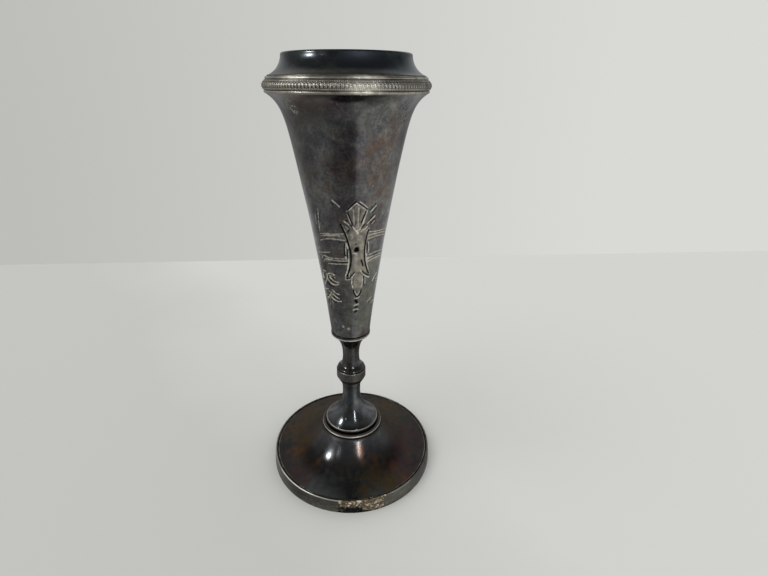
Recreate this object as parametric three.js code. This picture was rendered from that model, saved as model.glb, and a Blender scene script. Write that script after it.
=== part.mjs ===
// Bud vase of tarnished silver plate: an engraved trumpet on a knopped stem and a spreading foot.
// Spun and turned pieces stack on one axis, and a tie rod draws them together from under the foot.
// Millimetres, +Z up: the foot rests on z = 0 and the vase's axis is Z.
import * as THREE from 'three';

// Fits and stock
const sheet = 0.9; // wall of the spun pieces
const clearance = 0.3; // gap around a piece that slides into another

// Foot
const footRadius = 35;
const skirtHeight = 5.7; // table to the top of the skirt's bead
const skirtLean = 0.4; // how far the skirt leans in towards its top
const beadWidth = 0.9; // round bead on the skirt's top, which holds the sheet's edge
const ledgeWidth = 1.2; // ledge inside the bead, which carries the sheet
const ledgeDepth = 1.5; // bead's top to the ledge
const spreadSink = 0.3; // the foot's sheet springs this far under the bead's top
const spreadRise = 11.5; // bead's top to the sheet's flat crown
const crownMargin = 0.15; // crown left bare around the lower ring

// Two half-round rings between the foot and the bell
const lowerRingRadius = 12.95;
const lowerRingHeight = 1.4;
const ringStep = 1.5; // how much smaller the upper ring's radius is
const upperRingHeight = 1.7;
const upperRingBead = 1.1; // height of its round part; a plain groove is below it

// Bell and lower stem
const bellHeight = 13.2; // rings to the stem's waist
const bellSpigot = 1.6; // step from the bell's foot in to the spigot that passes through the rings
const waistRadius = 3.75;
const lowerStemLength = 5.8; // waist to the knop
const stemTopRadius = 4.15;

// Knop
const knopRadius = 6.1;
const girdleHeight = 6.1;
const girdleTaper = 2.3; // height of the cone under the girdle
const girdleLip = 0.4; // wall around the stem at the cone's small end
const socketDepth = 1.7; // how far the lower stem enters the girdle
const knopGroove = 0.3; // each side of the V between the girdle and the cap
const capInset = 0.35; // cap's edge set in from the girdle's
const capHeight = 1.3;
const capTopRadius = 4.5;

// Neck between the knop and the trumpet
const neckRadius = 3.4;
const neckLowerLength = 5; // cap to the neck's waist
const neckUpperLength = 9.7; // waist to the seat plate
const neckStep = 0.3; // plate's underside left bare around the neck

// Seat plate, which closes the trumpet's small end
const plateReach = 0.17; // plate's rim past the trumpet's foot
const plateHeight = 1.9;
const plateChamfer = 0.7; // slope from the plate's underside out to its rim
const plugHeight = 2; // the part that stands inside the trumpet
const bossRadius = 4;
const threadDepth = 5.3; // of the rod in the plate and its boss
const bossCover = 1.5; // metal over the thread's blind end

// Trumpet
const trumpetHeight = 88.4;
const trumpetFootRadius = 7.73;
const trumpetTopRadius = 26.3;
const trumpetBow = 4.6; // widening that grows with the square of the height
const trumpetFlare = 3.95; // last widening, just under the band
const flareLength = 2.9; // height over which that widening falls to about a third

// Milled band between two plain wires
const bandSeat = 1.4; // how far the band reaches in from the trumpet's edge
const lowerWireReach = 0.6; // this and the next two are past the trumpet's edge
const stripFootReach = 0.45;
const stripTopReach = 0.05;
const lowerWireHeight = 0.95;
const stripHeight = 3.05;
const stripCrown = 0.75; // bulge of the strip's face
const upperWireHeight = 0.9;

// Mouth collar
const collarStep = 0.8; // upper wire's edge to the collar's foot
const collarFootHeight = 0.3; // plain edge on the upper wire
const collarHeight = 6.7; // upper wire to the top of the lip
const collarNarrowing = 4.6; // collar's foot to the lip, in radius
const lipThickness = 1.2;

// Tie rod and its fastening under the foot
const rodRadius = 1.6;
const rodChamfer = 0.4;
const rodTail = 1.5; // rod left below the nut
const washerRadius = 6;
const washerHeight = 1;
const nutFlats = 7;
const nutHeight = 3.2;

// Facets
const wideSides = 40;
const narrowSides = 32;
const rodSides = 20;
const edgeSteps = 4; // steps round a half-round edge
const shortCurveSteps = 4;
const curveSteps = 7;
const spreadSteps = 10;
const trumpetSteps = 10;
const trumpetCrowding = 2.2; // 1 spaces the trumpet's steps evenly, more crowds them into the flare

// Curve handles, as shares of a curve's span in radius and in height
const uprightHandle = [0, 0.6];
const straightHandle = [0.5, 0.5];
const capHandles = [uprightHandle, [0.45, 0.42]];
const neckFlareHandles = [[0.5, 0.11], uprightHandle];
const neckTopHandles = [uprightHandle, [0.46, 0.19]];
const spreadHandles = [[0.5, 0.1], [0.32, 0.68]];
const bellHandles = [[0.5, 0.22], [0, 0.47]];
const collarHandles = [[0.52, 0.1], [0.02, 0.45]];

// Heights, each from the piece below it
const ledgeZ = skirtHeight - ledgeDepth;
const crownZ = skirtHeight + spreadRise;
const ringSplitZ = crownZ + lowerRingHeight;
const bellFootZ = ringSplitZ + upperRingHeight;
const waistZ = bellFootZ + bellHeight;
const girdleZ = waistZ + lowerStemLength;
const stemTopZ = girdleZ + socketDepth;
const capZ = girdleZ + girdleHeight;
const capTopZ = capZ + knopGroove + capHeight;
const neckWaistZ = capTopZ + neckLowerLength;
const plateZ = neckWaistZ + neckUpperLength;
const trumpetZ = plateZ + plateHeight;
const plugTopZ = trumpetZ + plugHeight;
const rodTopZ = plateZ + threadDepth;
const lowerWireZ = trumpetZ + trumpetHeight;
const stripZ = lowerWireZ + lowerWireHeight;
const upperWireZ = stripZ + stripHeight;
const collarZ = upperWireZ + upperWireHeight;
const washerZ = crownZ - sheet - washerHeight;
const nutZ = washerZ - nutHeight;

// Radii that fit one another
const boreRadius = rodRadius + clearance;
const rebateRadius = footRadius - skirtLean - beadWidth;
const spreadEdgeRadius = rebateRadius - clearance;
const crownRadius = lowerRingRadius + crownMargin;
const bellFootRadius = lowerRingRadius - ringStep - upperRingBead / 2;
const spigotRadius = bellFootRadius - bellSpigot;
const ringInnerRadius = spigotRadius + clearance;
const socketRadius = stemTopRadius + clearance;
const plateRadius = trumpetFootRadius + plateReach;
const plateFootRadius = plateRadius - plateChamfer;
const plugRadius = trumpetFootRadius - sheet - clearance;
const bandInnerRadius = trumpetTopRadius - bandSeat;
const upperWireRadius = trumpetTopRadius;
const collarFootRadius = upperWireRadius - collarStep;
const collarSpigotRadius = bandInnerRadius - clearance;
const lipRadius = collarFootRadius - collarNarrowing;

// Colours by sight: dull silver where it is handled or cut, near black where the tarnish lies thick
const tarnishedSilver = { color: '#4c4b48', metalness: 0.9, roughness: 0.42 };
const blackenedSilver = { color: '#292b2e', metalness: 0.9, roughness: 0.24 };
const brownedSilver = { color: '#2f2b28', metalness: 0.85, roughness: 0.34 };
const rubbedSilver = { color: '#8b8880', metalness: 0.95, roughness: 0.38 };
const plainSteel = { color: '#77777a', metalness: 0.9, roughness: 0.5 };

// Points of a cubic curve between two points given as [radius, height].
function curve(from, to, [leaving, arriving], steps) {
  const span = [to[0] - from[0], to[1] - from[1]];
  const path = new THREE.CubicBezierCurve(
    new THREE.Vector2(from[0], from[1]),
    new THREE.Vector2(from[0] + span[0] * leaving[0], from[1] + span[1] * leaving[1]),
    new THREE.Vector2(to[0] - span[0] * arriving[0], to[1] - span[1] * arriving[1]),
    new THREE.Vector2(to[0], to[1]),
  );
  return path.getPoints(steps).map((point) => [point.x, point.y]);
}

// Points of a half-round edge about a centre, turning left from a starting angle.
function halfRound(center, radius, startAngle) {
  const points = [];
  for (let i = 0; i <= edgeSteps; i += 1) {
    const angle = startAngle + (Math.PI * i) / edgeSteps;
    points.push([center[0] + radius * Math.cos(angle), center[1] + radius * Math.sin(angle)]);
  }
  return points;
}

// The same edge facing outwards, from its lowest point to its highest.
function roundSide(radius, bottomZ, height) {
  const edge = height / 2;
  return halfRound([radius - edge, bottomZ + edge], edge, -Math.PI / 2);
}

// The same edge facing up, from its outer side to its inner side.
function roundTop(outerRadius, topZ, width) {
  const edge = width / 2;
  return halfRound([outerRadius - edge, topZ - edge], edge, 0);
}

// A solid of revolution about Z from a closed outline of [radius, height] points.
function turned(name, outline, sides, finish) {
  const points = outline.map(([radius, height]) => new THREE.Vector2(radius, height));
  const geometry = new THREE.LatheGeometry(points, sides);
  geometry.rotateX(Math.PI / 2);
  const mesh = new THREE.Mesh(geometry, new THREE.MeshStandardMaterial(finish));
  mesh.name = name;
  return mesh;
}

// An outline that ends where it starts.
function closed(outline) {
  return [...outline, outline[0]];
}

// Foot ring with a bead on top and a ledge inside it for the sheet.
function footSkirt() {
  const innerRadius = rebateRadius - ledgeWidth;
  return turned('foot_skirt', closed([
    [innerRadius, 0],
    [footRadius, 0],
    ...roundTop(rebateRadius + beadWidth, skirtHeight, beadWidth),
    [rebateRadius, ledgeZ],
    [innerRadius, ledgeZ],
  ]), wideSides, tarnishedSilver);
}

// Spun sheet of the foot: hollow sides up to a flat crown, bored for the tie rod.
function footSpread() {
  const springing = [spreadEdgeRadius, skirtHeight - spreadSink];
  const innerEdge = [spreadEdgeRadius - sheet, ledgeZ];
  const outside = curve(springing, [crownRadius, crownZ], spreadHandles, spreadSteps);
  const inside = curve(innerEdge, [crownRadius, crownZ - sheet], spreadHandles, spreadSteps);
  return turned('foot_spread', closed([
    innerEdge,
    [spreadEdgeRadius, ledgeZ],
    ...outside,
    [boreRadius, crownZ],
    [boreRadius, crownZ - sheet],
    ...inside.slice(1).reverse(),
  ]), wideSides, brownedSilver);
}

function bellRingLower() {
  return turned('bell_ring_lower', closed([
    [ringInnerRadius, crownZ],
    ...roundSide(lowerRingRadius, crownZ, lowerRingHeight),
    [ringInnerRadius, ringSplitZ],
  ]), narrowSides, rubbedSilver);
}

function bellRingUpper() {
  return turned('bell_ring_upper', closed([
    [ringInnerRadius, ringSplitZ],
    [bellFootRadius, ringSplitZ],
    ...roundSide(lowerRingRadius - ringStep, bellFootZ - upperRingBead, upperRingBead),
    [ringInnerRadius, bellFootZ],
  ]), narrowSides, rubbedSilver);
}

// Hollow bell that runs up into the lower stem; its spigot centres the rings on the foot.
function stemBell() {
  const spigotZ = crownZ + clearance;
  const innerRadius = spigotRadius - sheet;
  const waist = [waistRadius, waistZ];
  const upperHandles = [uprightHandle, straightHandle];
  const outside = curve([bellFootRadius, bellFootZ], waist, bellHandles, curveSteps);
  const inside = curve([innerRadius, bellFootZ], [boreRadius, waistZ], bellHandles, curveSteps);
  const upper = curve(waist, [stemTopRadius, girdleZ], upperHandles, shortCurveSteps);
  return turned('stem_bell', closed([
    [innerRadius, spigotZ],
    [spigotRadius, spigotZ],
    [spigotRadius, bellFootZ],
    ...outside,
    ...upper.slice(1),
    [stemTopRadius, stemTopZ],
    [boreRadius, stemTopZ],
    ...inside.reverse(),
  ]), narrowSides, blackenedSilver);
}

// Lower half of the knop: a plain girdle on a cone, with a socket for the lower stem.
function knopGirdle() {
  return turned('knop_girdle', closed([
    [socketRadius, girdleZ],
    [socketRadius + girdleLip, girdleZ],
    [knopRadius, girdleZ + girdleTaper],
    [knopRadius, capZ - knopGroove],
    [knopRadius - knopGroove, capZ],
    [boreRadius, capZ],
    [boreRadius, stemTopZ],
    [socketRadius, stemTopZ],
  ]), narrowSides, tarnishedSilver);
}

// Upper half of the knop and the waisted neck above it.
function stemNeck() {
  const capRadius = knopRadius - capInset;
  const capTop = [capTopRadius, capTopZ];
  const waist = [neckRadius, neckWaistZ];
  const top = [plateFootRadius - neckStep, plateZ];
  const cap = curve([capRadius, capZ + knopGroove], capTop, capHandles, shortCurveSteps);
  const below = curve(capTop, waist, neckFlareHandles, shortCurveSteps);
  const above = curve(waist, top, neckTopHandles, curveSteps);
  return turned('stem_neck', closed([
    [boreRadius, capZ],
    [capRadius - knopGroove, capZ],
    ...cap,
    ...below.slice(1),
    ...above.slice(1),
    [boreRadius, plateZ],
  ]), narrowSides, blackenedSilver);
}

// Plate that plugs the trumpet's small end, with a blind thread for the tie rod.
function seatPlate() {
  return turned('seat_plate', [
    [0, rodTopZ],
    [boreRadius, rodTopZ],
    [boreRadius, plateZ],
    [plateFootRadius, plateZ],
    [plateRadius, plateZ + plateChamfer],
    [plateRadius, trumpetZ],
    [plugRadius, trumpetZ],
    [plugRadius, plugTopZ],
    [bossRadius, plugTopZ],
    [bossRadius, rodTopZ + bossCover],
    [0, rodTopZ + bossCover],
  ], narrowSides, rubbedSilver);
}

// Outside radius of the trumpet at a height above its foot: a cone, bowed, with a flare at the end.
function trumpetRadius(height) {
  const share = height / trumpetHeight;
  const coneWidening = trumpetTopRadius - trumpetFootRadius - trumpetBow - trumpetFlare;
  const flare = trumpetFlare * Math.exp((height - trumpetHeight) / flareLength);
  return trumpetFootRadius + coneWidening * share + trumpetBow * share ** 2 + flare;
}

// Spun trumpet, open at both ends, with its points crowded towards the flare.
function trumpetBody() {
  const outside = [];
  for (let i = 0; i <= trumpetSteps; i += 1) {
    const height = trumpetHeight * (1 - (1 - i / trumpetSteps) ** trumpetCrowding);
    outside.push([trumpetRadius(height), trumpetZ + height]);
  }
  const inside = outside.map(([radius, height]) => [radius - sheet, height]);
  return turned('trumpet_body', closed([...outside, ...inside.reverse()]), wideSides, tarnishedSilver);
}

// Plain half-round wire on one side of the milled strip.
function bandWire(name, radius, bottomZ, height) {
  return turned(name, closed([
    [bandInnerRadius, bottomZ],
    ...roundSide(radius, bottomZ, height),
    [bandInnerRadius, bottomZ + height],
  ]), wideSides, rubbedSilver);
}

// Strip that carries the milled pattern, with a bulging face.
function milledStrip() {
  const foot = new THREE.Vector2(trumpetTopRadius + stripFootReach, stripZ);
  const top = new THREE.Vector2(trumpetTopRadius + stripTopReach, upperWireZ);
  const bulge = new THREE.Vector2().lerpVectors(foot, top, 0.5);
  bulge.x += 2 * stripCrown;
  const face = new THREE.QuadraticBezierCurve(foot, bulge, top);
  return turned('milled_strip', closed([
    [bandInnerRadius, stripZ],
    ...face.getPoints(curveSteps).map((point) => [point.x, point.y]),
    [bandInnerRadius, upperWireZ],
  ]), wideSides, rubbedSilver);
}

// Hollow-sided collar with a rolled lip; its spigot drops through the band.
function mouthCollar() {
  const lipTopZ = collarZ + collarHeight;
  const lipZ = lipTopZ - lipThickness / 2;
  const innerFootRadius = collarSpigotRadius - sheet;
  const spigotZ = lowerWireZ + clearance;
  const foot = [collarFootRadius, collarZ + collarFootHeight];
  const innerLip = [lipRadius - lipThickness, lipZ];
  const outside = curve(foot, [lipRadius, lipZ], collarHandles, curveSteps);
  const inside = curve([innerFootRadius, collarZ], innerLip, collarHandles, curveSteps);
  return turned('mouth_collar', closed([
    [innerFootRadius, spigotZ],
    [collarSpigotRadius, spigotZ],
    [collarSpigotRadius, collarZ],
    [collarFootRadius, collarZ],
    ...outside,
    ...roundTop(lipRadius, lipTopZ, lipThickness).slice(1),
    ...inside.slice(0, -1).reverse(),
  ]), wideSides, blackenedSilver);
}

function tieRod() {
  const bottomZ = nutZ - rodTail;
  return turned('tie_rod', [
    [0, bottomZ],
    [rodRadius - rodChamfer, bottomZ],
    [rodRadius, bottomZ + rodChamfer],
    [rodRadius, rodTopZ - rodChamfer],
    [rodRadius - rodChamfer, rodTopZ],
    [0, rodTopZ],
  ], rodSides, plainSteel);
}

function rodWasher() {
  return turned('rod_washer', closed([
    [boreRadius, washerZ],
    [washerRadius, washerZ],
    [washerRadius, washerZ + washerHeight],
    [boreRadius, washerZ + washerHeight],
  ]), rodSides, plainSteel);
}

// Hexagon nut with its bore cut through.
function rodNut() {
  const cornerRadius = nutFlats / 2 / Math.cos(Math.PI / 6);
  const corners = [];
  for (let i = 0; i < 6; i += 1) {
    corners.push(new THREE.Vector2(cornerRadius, 0).rotateAround(new THREE.Vector2(), (i * Math.PI) / 3));
  }
  const hexagon = new THREE.Shape(corners);
  const bore = new THREE.Path();
  bore.absarc(0, 0, boreRadius, 0, 2 * Math.PI, true);
  hexagon.holes.push(bore);
  const geometry = new THREE.ExtrudeGeometry(hexagon, {
    depth: nutHeight,
    bevelEnabled: false,
    curveSegments: rodSides,
  });
  const nut = new THREE.Mesh(geometry, new THREE.MeshStandardMaterial(plainSteel));
  nut.name = 'rod_nut';
  nut.position.z = nutZ;
  return nut;
}

const budVase = new THREE.Group();
budVase.add(
  footSkirt(),
  footSpread(),
  bellRingLower(),
  bellRingUpper(),
  stemBell(),
  knopGirdle(),
  stemNeck(),
  seatPlate(),
  trumpetBody(),
  bandWire('band_wire_lower', trumpetTopRadius + lowerWireReach, lowerWireZ, lowerWireHeight),
  milledStrip(),
  bandWire('band_wire_upper', upperWireRadius, upperWireZ, upperWireHeight),
  mouthCollar(),
  tieRod(),
  rodWasher(),
  rodNut(),
);

export default budVase;
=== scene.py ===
# Bud vase in tarnished silver plate: engraved trumpet, milled band, knopped stem, spreading foot.
from math import radians

import bpy
import numpy as np
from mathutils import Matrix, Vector


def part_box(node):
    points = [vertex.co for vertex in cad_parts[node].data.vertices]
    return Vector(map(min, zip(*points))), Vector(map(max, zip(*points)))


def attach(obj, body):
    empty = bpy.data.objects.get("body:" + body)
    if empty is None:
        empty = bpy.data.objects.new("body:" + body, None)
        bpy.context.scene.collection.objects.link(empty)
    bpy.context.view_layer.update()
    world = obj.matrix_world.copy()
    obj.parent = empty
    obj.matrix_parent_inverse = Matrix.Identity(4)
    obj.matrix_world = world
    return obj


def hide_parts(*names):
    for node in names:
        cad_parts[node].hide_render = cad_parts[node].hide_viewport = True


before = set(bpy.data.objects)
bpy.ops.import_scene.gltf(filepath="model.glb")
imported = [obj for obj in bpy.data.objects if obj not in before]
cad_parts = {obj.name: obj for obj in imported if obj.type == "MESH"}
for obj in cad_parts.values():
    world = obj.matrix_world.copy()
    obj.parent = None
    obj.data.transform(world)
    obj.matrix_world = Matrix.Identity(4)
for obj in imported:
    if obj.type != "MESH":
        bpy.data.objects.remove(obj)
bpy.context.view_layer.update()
mm = 0.001  # profiles are in millimetres, meshes in metres
scene = bpy.context.scene
scene.view_settings.view_transform = "Standard"
print("frame loaded:", len(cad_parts), "solids")


# Small tools

def hexToLinear(code):
    # sRGB hex to linear RGBA
    srgb = np.array([int(code[i:i + 2], 16) for i in (1, 3, 5)]) / 255
    linear = np.where(srgb <= 0.04045, srgb / 12.92, ((srgb + 0.055) / 1.055) ** 2.4)
    return (*linear.tolist(), 1.0)


def addNode(tree, kind, inputs=None, stops=None, **settings):
    # adds a node, sets its properties and ramp stops, then fills or links its sockets
    node = tree.nodes.new(kind)
    for key, value in settings.items():
        setattr(node, key, value)
    for place, colour in stops or ():
        fresh = node.color_ramp.elements.new(place)
        fresh.color = colour
    if stops:
        ramp = node.color_ramp.elements
        ramp.remove(ramp[0])
        ramp.remove(ramp[len(ramp) - 1])
    for socket, value in (inputs or {}).items():
        if isinstance(value, bpy.types.NodeSocket):
            tree.links.new(value, node.inputs[socket])
        else:
            node.inputs[socket].default_value = value
    return node


def size(node):
    # a turned solid's outer radius, bottom and top in mm
    low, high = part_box(node)
    return high.x / mm, low.z / mm, high.z / mm


def smooth(low, high, x):
    # 0 below low, 1 above high, an S-curve between
    t = np.clip((x - low) / (high - low), 0, 1)
    return t * t * (3 - 2 * t)


def window(x, rise, full, fall, end):
    # 1 from full to fall, an S-curve up to it from rise and another down to end
    return smooth(rise, full, x) * smooth(end, fall, x)


def stepped(x, base, *changes):
    # a level that changes by an amount between two places, once or more
    return base + sum(amount * smooth(low, high, x) for amount, low, high in changes)


def hill(x, middle, spread):
    # a bell curve
    return np.exp(-((x - middle) / spread) ** 2)


def lumps(x, y, length, seed, waves=28):
    # seeded bumpiness: a sum of plane waves of about one length, in random directions
    draw = np.random.default_rng(seed)
    heading = draw.uniform(0, np.pi, waves)
    phase = draw.uniform(0, 2 * np.pi, waves)
    number = 2 * np.pi / (length * draw.uniform(0.7, 1.7, waves))
    total = np.zeros(np.broadcast(x, y).shape)
    for k in range(waves):
        total += np.sin(number[k] * (x * np.cos(heading[k]) + y * np.sin(heading[k])) + phase[k])
    return total / np.sqrt(waves / 2)


# Profiles: complex numbers, radius + 1j * height, running up the outside so the metal is on the left

def curve(start, end, leaving, arriving, steps=40):
    # cubic curve; its handles are shares of the span in radius and in height
    span = end - start
    near = start + span.real * leaving[0] + 1j * span.imag * leaving[1]
    far = end - span.real * arriving[0] - 1j * span.imag * arriving[1]
    t = np.linspace(0, 1, steps + 1)
    u = 1 - t
    return u ** 3 * start + 3 * u * u * t * near + 3 * u * t * t * far + t ** 3 * end


def roundSide(radius, bottom, height, steps=16):
    # half circle facing outwards, from its lowest point to its highest
    turn = np.linspace(-np.pi / 2, np.pi / 2, steps + 1)
    return radius - height / 2 + 1j * (bottom + height / 2) + height / 2 * np.exp(1j * turn)


def roundTop(outer, top, width, steps=16):
    # half circle facing up, from its outer side to its inner side
    turn = np.linspace(0, np.pi, steps + 1)
    return outer - width / 2 + 1j * (top - width / 2) + width / 2 * np.exp(1j * turn)


def join(*parts):
    return np.concatenate([np.atleast_1d(np.asarray(part, complex)) for part in parts])


def eased(outline, softness, count, crowding=0.5):
    # the closed outline walked in even steps, its corners blurred over softness,
    # then count points picked so that they crowd where it bends
    loop = np.append(outline, outline[0])
    along = np.append(0, np.cumsum(np.abs(np.diff(loop))))
    steps = int(along[-1] / 0.01)
    walk = np.linspace(0, along[-1], steps, endpoint=False)
    fine = np.interp(walk, along, loop.real) + 1j * np.interp(walk, along, loop.imag)
    stride = along[-1] / steps
    blur = np.exp(-2 * (np.pi * np.fft.fftfreq(steps, stride) * softness) ** 2)
    fine = np.fft.ifft(np.fft.fft(fine) * blur)
    ahead = np.roll(fine, -1) - fine
    bend = np.angle(ahead / np.roll(ahead, 1)) / stride  # per mm, positive where the metal is convex
    crowd = np.cumsum(1 + crowding * np.abs(bend))
    pick = np.interp(np.linspace(crowd[0], crowd[-1], count, endpoint=False), crowd, walk)
    wrap = along[-1]
    across, up, bend = (np.interp(pick, walk, part, period=wrap) for part in (fine.real, fine.imag, bend))
    return across + 1j * up, bend


# Meshes: a profile carried round the axis; azimuth 0 faces -Y and grows towards +X

def spun(radius, height, turn):
    # points of a grid: rows along the profile, columns round the axis
    return np.stack([radius * np.sin(turn), -radius * np.cos(turn), height], -1).reshape(-1, 3) * mm


def gridFaces(rows, columns, closed):
    # quads between neighbours, always closed round the axis, and along the profile if it is closed
    index = np.arange(rows * columns).reshape(rows, columns)
    right = np.roll(index, -1, 1)
    quads = np.stack([index, right, np.roll(right, -1, 0), np.roll(index, -1, 0)], -1)
    return quads[:rows if closed else -1].reshape(-1, 4)


def ringMesh(name, radius, height, turn, marks):
    return meshFrom(name, spun(radius, height, turn), gridFaces(*radius.shape, True).tolist(), marks)


def cappedMesh(name, radius, height, turn, marks):
    # the grid left open along the profile, with a pole on the axis at each end
    rows, columns = radius.shape
    poles = np.array([[0, 0, height[0, 0]], [0, 0, height[-1, 0]]]) * mm
    ring = np.arange(columns)
    beside = np.roll(ring, -1)
    last = (rows - 1) * columns
    bottom = np.stack([beside, ring, np.full(columns, rows * columns)], -1)
    top = np.stack([ring + last, beside + last, np.full(columns, rows * columns + 1)], -1)
    marks = {key: np.append(value, [value.flat[0], value.flat[-1]]) for key, value in marks.items()}
    faces = gridFaces(rows, columns, False).tolist() + bottom.tolist() + top.tolist()
    return meshFrom(name, np.vstack([spun(radius, height, turn), poles]), faces, marks)


def meshFrom(name, points, faces, marks):
    mesh = bpy.data.meshes.new(name)
    mesh.from_pydata(points.tolist(), [], faces)
    mesh.polygons.foreach_set("use_smooth", np.ones(len(mesh.polygons), bool))
    for key, value in marks.items():
        layer = mesh.attributes.new(key, "FLOAT", "POINT")
        layer.data.foreach_set("value", np.ascontiguousarray(value, np.float32).ravel())
    mesh.update()
    piece = bpy.data.objects.new(name, mesh)
    scene.collection.objects.link(piece)
    return piece


def seat(piece, node, material):
    # gives a piece its metal and puts it in its solid's place
    piece.data.materials.append(material)
    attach(piece, "root")
    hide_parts(node)
    return piece


def crestLine(r, z, centre, middle, width):
    # a rubbed line along a bead: a bell curve of the angle up round the bead's centre, in degrees
    return hill(np.degrees(np.angle(r - centre.real + 1j * (z - centre.imag))), middle, width)


def roundAbout(columns):
    return np.linspace(-np.pi, np.pi, columns, endpoint=False)


def crowded(low, high, inside, outside):
    # columns crowded between two azimuths in degrees, sparse round the rest
    near = np.linspace(low, high, inside)
    far = np.linspace(high, low + 360, outside + 2)[1:-1]
    return np.radians((np.concatenate([near, far]) + 180) % 360 - 180)


def turned(name, outline, turn=roundAbout(192), softness=0.09, count=120, relief=None):
    # a closed outline spun round the axis; sharp edges are marked worn, hollows are marked grimy
    points, bend = eased(outline, softness, count)
    spread = np.ones(len(turn))
    radius, height = np.outer(points.real, spread), np.outer(points.imag, spread)
    marks = {"wear": np.outer(smooth(0.5, 2.6, bend), spread),
             "grime": np.outer(smooth(0.3, 3, -bend), spread)}
    if relief:
        radius = relief(radius, height, turn, marks)
    return ringMesh(name, radius, height, turn, marks)


# Materials

def newMaterial(name):
    material = bpy.data.materials.new(name)
    material.use_nodes = True
    material.node_tree.nodes.clear()
    return material, material.node_tree


def fleck(tree, spot, length, least, most, low=0.38, high=0.62, detail=3.0, shift=0.0, stretch=1.0):
    # noise with features of a length in mm, its middle range stretched from least to most; shift makes two
    # noises differ, and stretch draws features out along the height
    if shift:
        spot = addNode(tree, "ShaderNodeMapping", {
            "Vector": spot, "Location": (0.31, 0.17, shift), "Scale": (1, 1, 1 / stretch)}).outputs[0]
    noise = addNode(tree, "ShaderNodeTexNoise", {
        "Vector": spot, "Scale": 1 / (length * mm), "Detail": detail, "Roughness": 0.62, "Distortion": 0.4})
    return addNode(tree, "ShaderNodeMapRange", {
        "Value": noise.outputs[0], "From Min": low, "From Max": high, "To Min": least,
        "To Max": most}).outputs[0]


def tarnishedPlate(name, look):
    # Silver plate left to tarnish: a thin sulphide skin over bright metal. It still mirrors like metal,
    # only darker, in cloudy and grainy patches of grey, brown and blue-black, and it is rubbed bright on
    # high edges. Each layer lays one more finish over it where a number stored on the mesh says so; some
    # of these layers are painted highlights, painted reflections or painted shade.
    look = {**plateLook, **look}
    material, tree = newMaterial(name)

    spot = addNode(tree, "ShaderNodeTexCoord").outputs["Object"]
    spot = addNode(tree, "ShaderNodeMapping", {
        "Vector": spot, "Location": (0.31, 0.17, look["shift"])}).outputs[0]
    cloud = addNode(tree, "ShaderNodeTexNoise", {
        "Vector": spot, "Scale": 1 / (look["cloudSize"] * mm), "Detail": 5.0, "Roughness": 0.62,
        "Distortion": 0.5}).outputs[0]
    tones = ((0.36, look["dark"]), (0.5, look["middle"]), (0.64, look["light"]))
    colour = addNode(tree, "ShaderNodeValToRGB", {"Fac": cloud},
                     stops=[(place, hexToLinear(hue)) for place, hue in tones]).outputs[0]
    # Mix sockets by number: colours are 6 and 7 in, 2 out; single numbers are 2 and 3 in, 0 out
    for key, shift in (("stain", 0.7), ("bloom", 1.3)):
        share = fleck(tree, spot, look[key + "Size"], 0, look[key + "Share"], 0.5, 0.64, 4.0, shift)
        colour = addNode(tree, "ShaderNodeMix", {0: share, 6: colour, 7: hexToLinear(look[key])},
                         data_type="RGBA").outputs[2]
    tone = 1.0
    for length, stretch, depth in look["grain"]:
        grain = fleck(tree, spot, length, 1 - depth, 1 + depth, shift=0.11 * length, stretch=stretch)
        tone = addNode(tree, "ShaderNodeMath", {0: tone, 1: grain}, operation="MULTIPLY").outputs[0]
    colour = addNode(tree, "ShaderNodeVectorMath", {0: colour, "Scale": tone}, operation="SCALE").outputs[0]
    rough = addNode(tree, "ShaderNodeMapRange", {
        "Value": cloud, "From Min": 0.3, "From Max": 0.7, "To Min": look["roughLeast"],
        "To Max": look["roughMost"]}).outputs[0]
    shine = 1.0
    for mark, hue, least, most, metal, dullness in (*look["rubs"], *look["layers"]):
        stored = addNode(tree, "ShaderNodeAttribute", attribute_name=mark).outputs["Fac"]
        patchy = fleck(tree, spot, look["fretSize"], least, most)
        share = addNode(tree, "ShaderNodeMath", {0: stored, 1: patchy}, operation="MULTIPLY").outputs[0]
        colour = addNode(tree, "ShaderNodeMix", {0: share, 6: colour, 7: hexToLinear(hue)},
                         data_type="RGBA").outputs[2]
        rough = addNode(tree, "ShaderNodeMix", {0: share, 2: rough, 3: dullness}).outputs[0]
        shine = addNode(tree, "ShaderNodeMix", {0: share, 2: shine, 3: metal}).outputs[0]
    bump = addNode(tree, "ShaderNodeBump", {"Height": tone, "Strength": look["bump"], "Distance": 0.02 * mm})
    metal = addNode(tree, "ShaderNodeBsdfPrincipled", {
        "Base Color": colour, "Roughness": rough, "Metallic": shine, "Normal": bump.outputs[0]})
    addNode(tree, "ShaderNodeOutputMaterial", {"Surface": metal.outputs[0]})
    return material


plateLook = {  # shared by every tarnished piece; sizes in mm; each piece's own dictionary overrides some
    "shift": 0.0, "cloudSize": 7.0, "dark": "#55555a", "middle": "#66655f", "light": "#716d66",
    "stainSize": 9.0, "stainShare": 0.4, "stain": "#5a4c44",
    "bloomSize": 8.0, "bloomShare": 0.3, "bloom": "#4d4f5c",
    "grain": ((0.8, 1, 0.12), (0.8, 9, 0.08)),  # size, stretch up the vase, depth
    "fretSize": 1.2, "roughLeast": 0.24, "roughMost": 0.36, "bump": 0.1,
    # finishes laid over the tarnish: mark on the mesh, colour, least and most share, metallic, roughness
    "rubs": (("wear", "#b9b5a8", 0.2, 0.8, 1.0, 0.3), ("grime", "#1c1b19", 0.85, 1.0, 1.0, 0.5)),
    "layers": (),
}


# Foot skirt: upright ring with a bead that holds the foot's edge, crusted at the front

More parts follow.
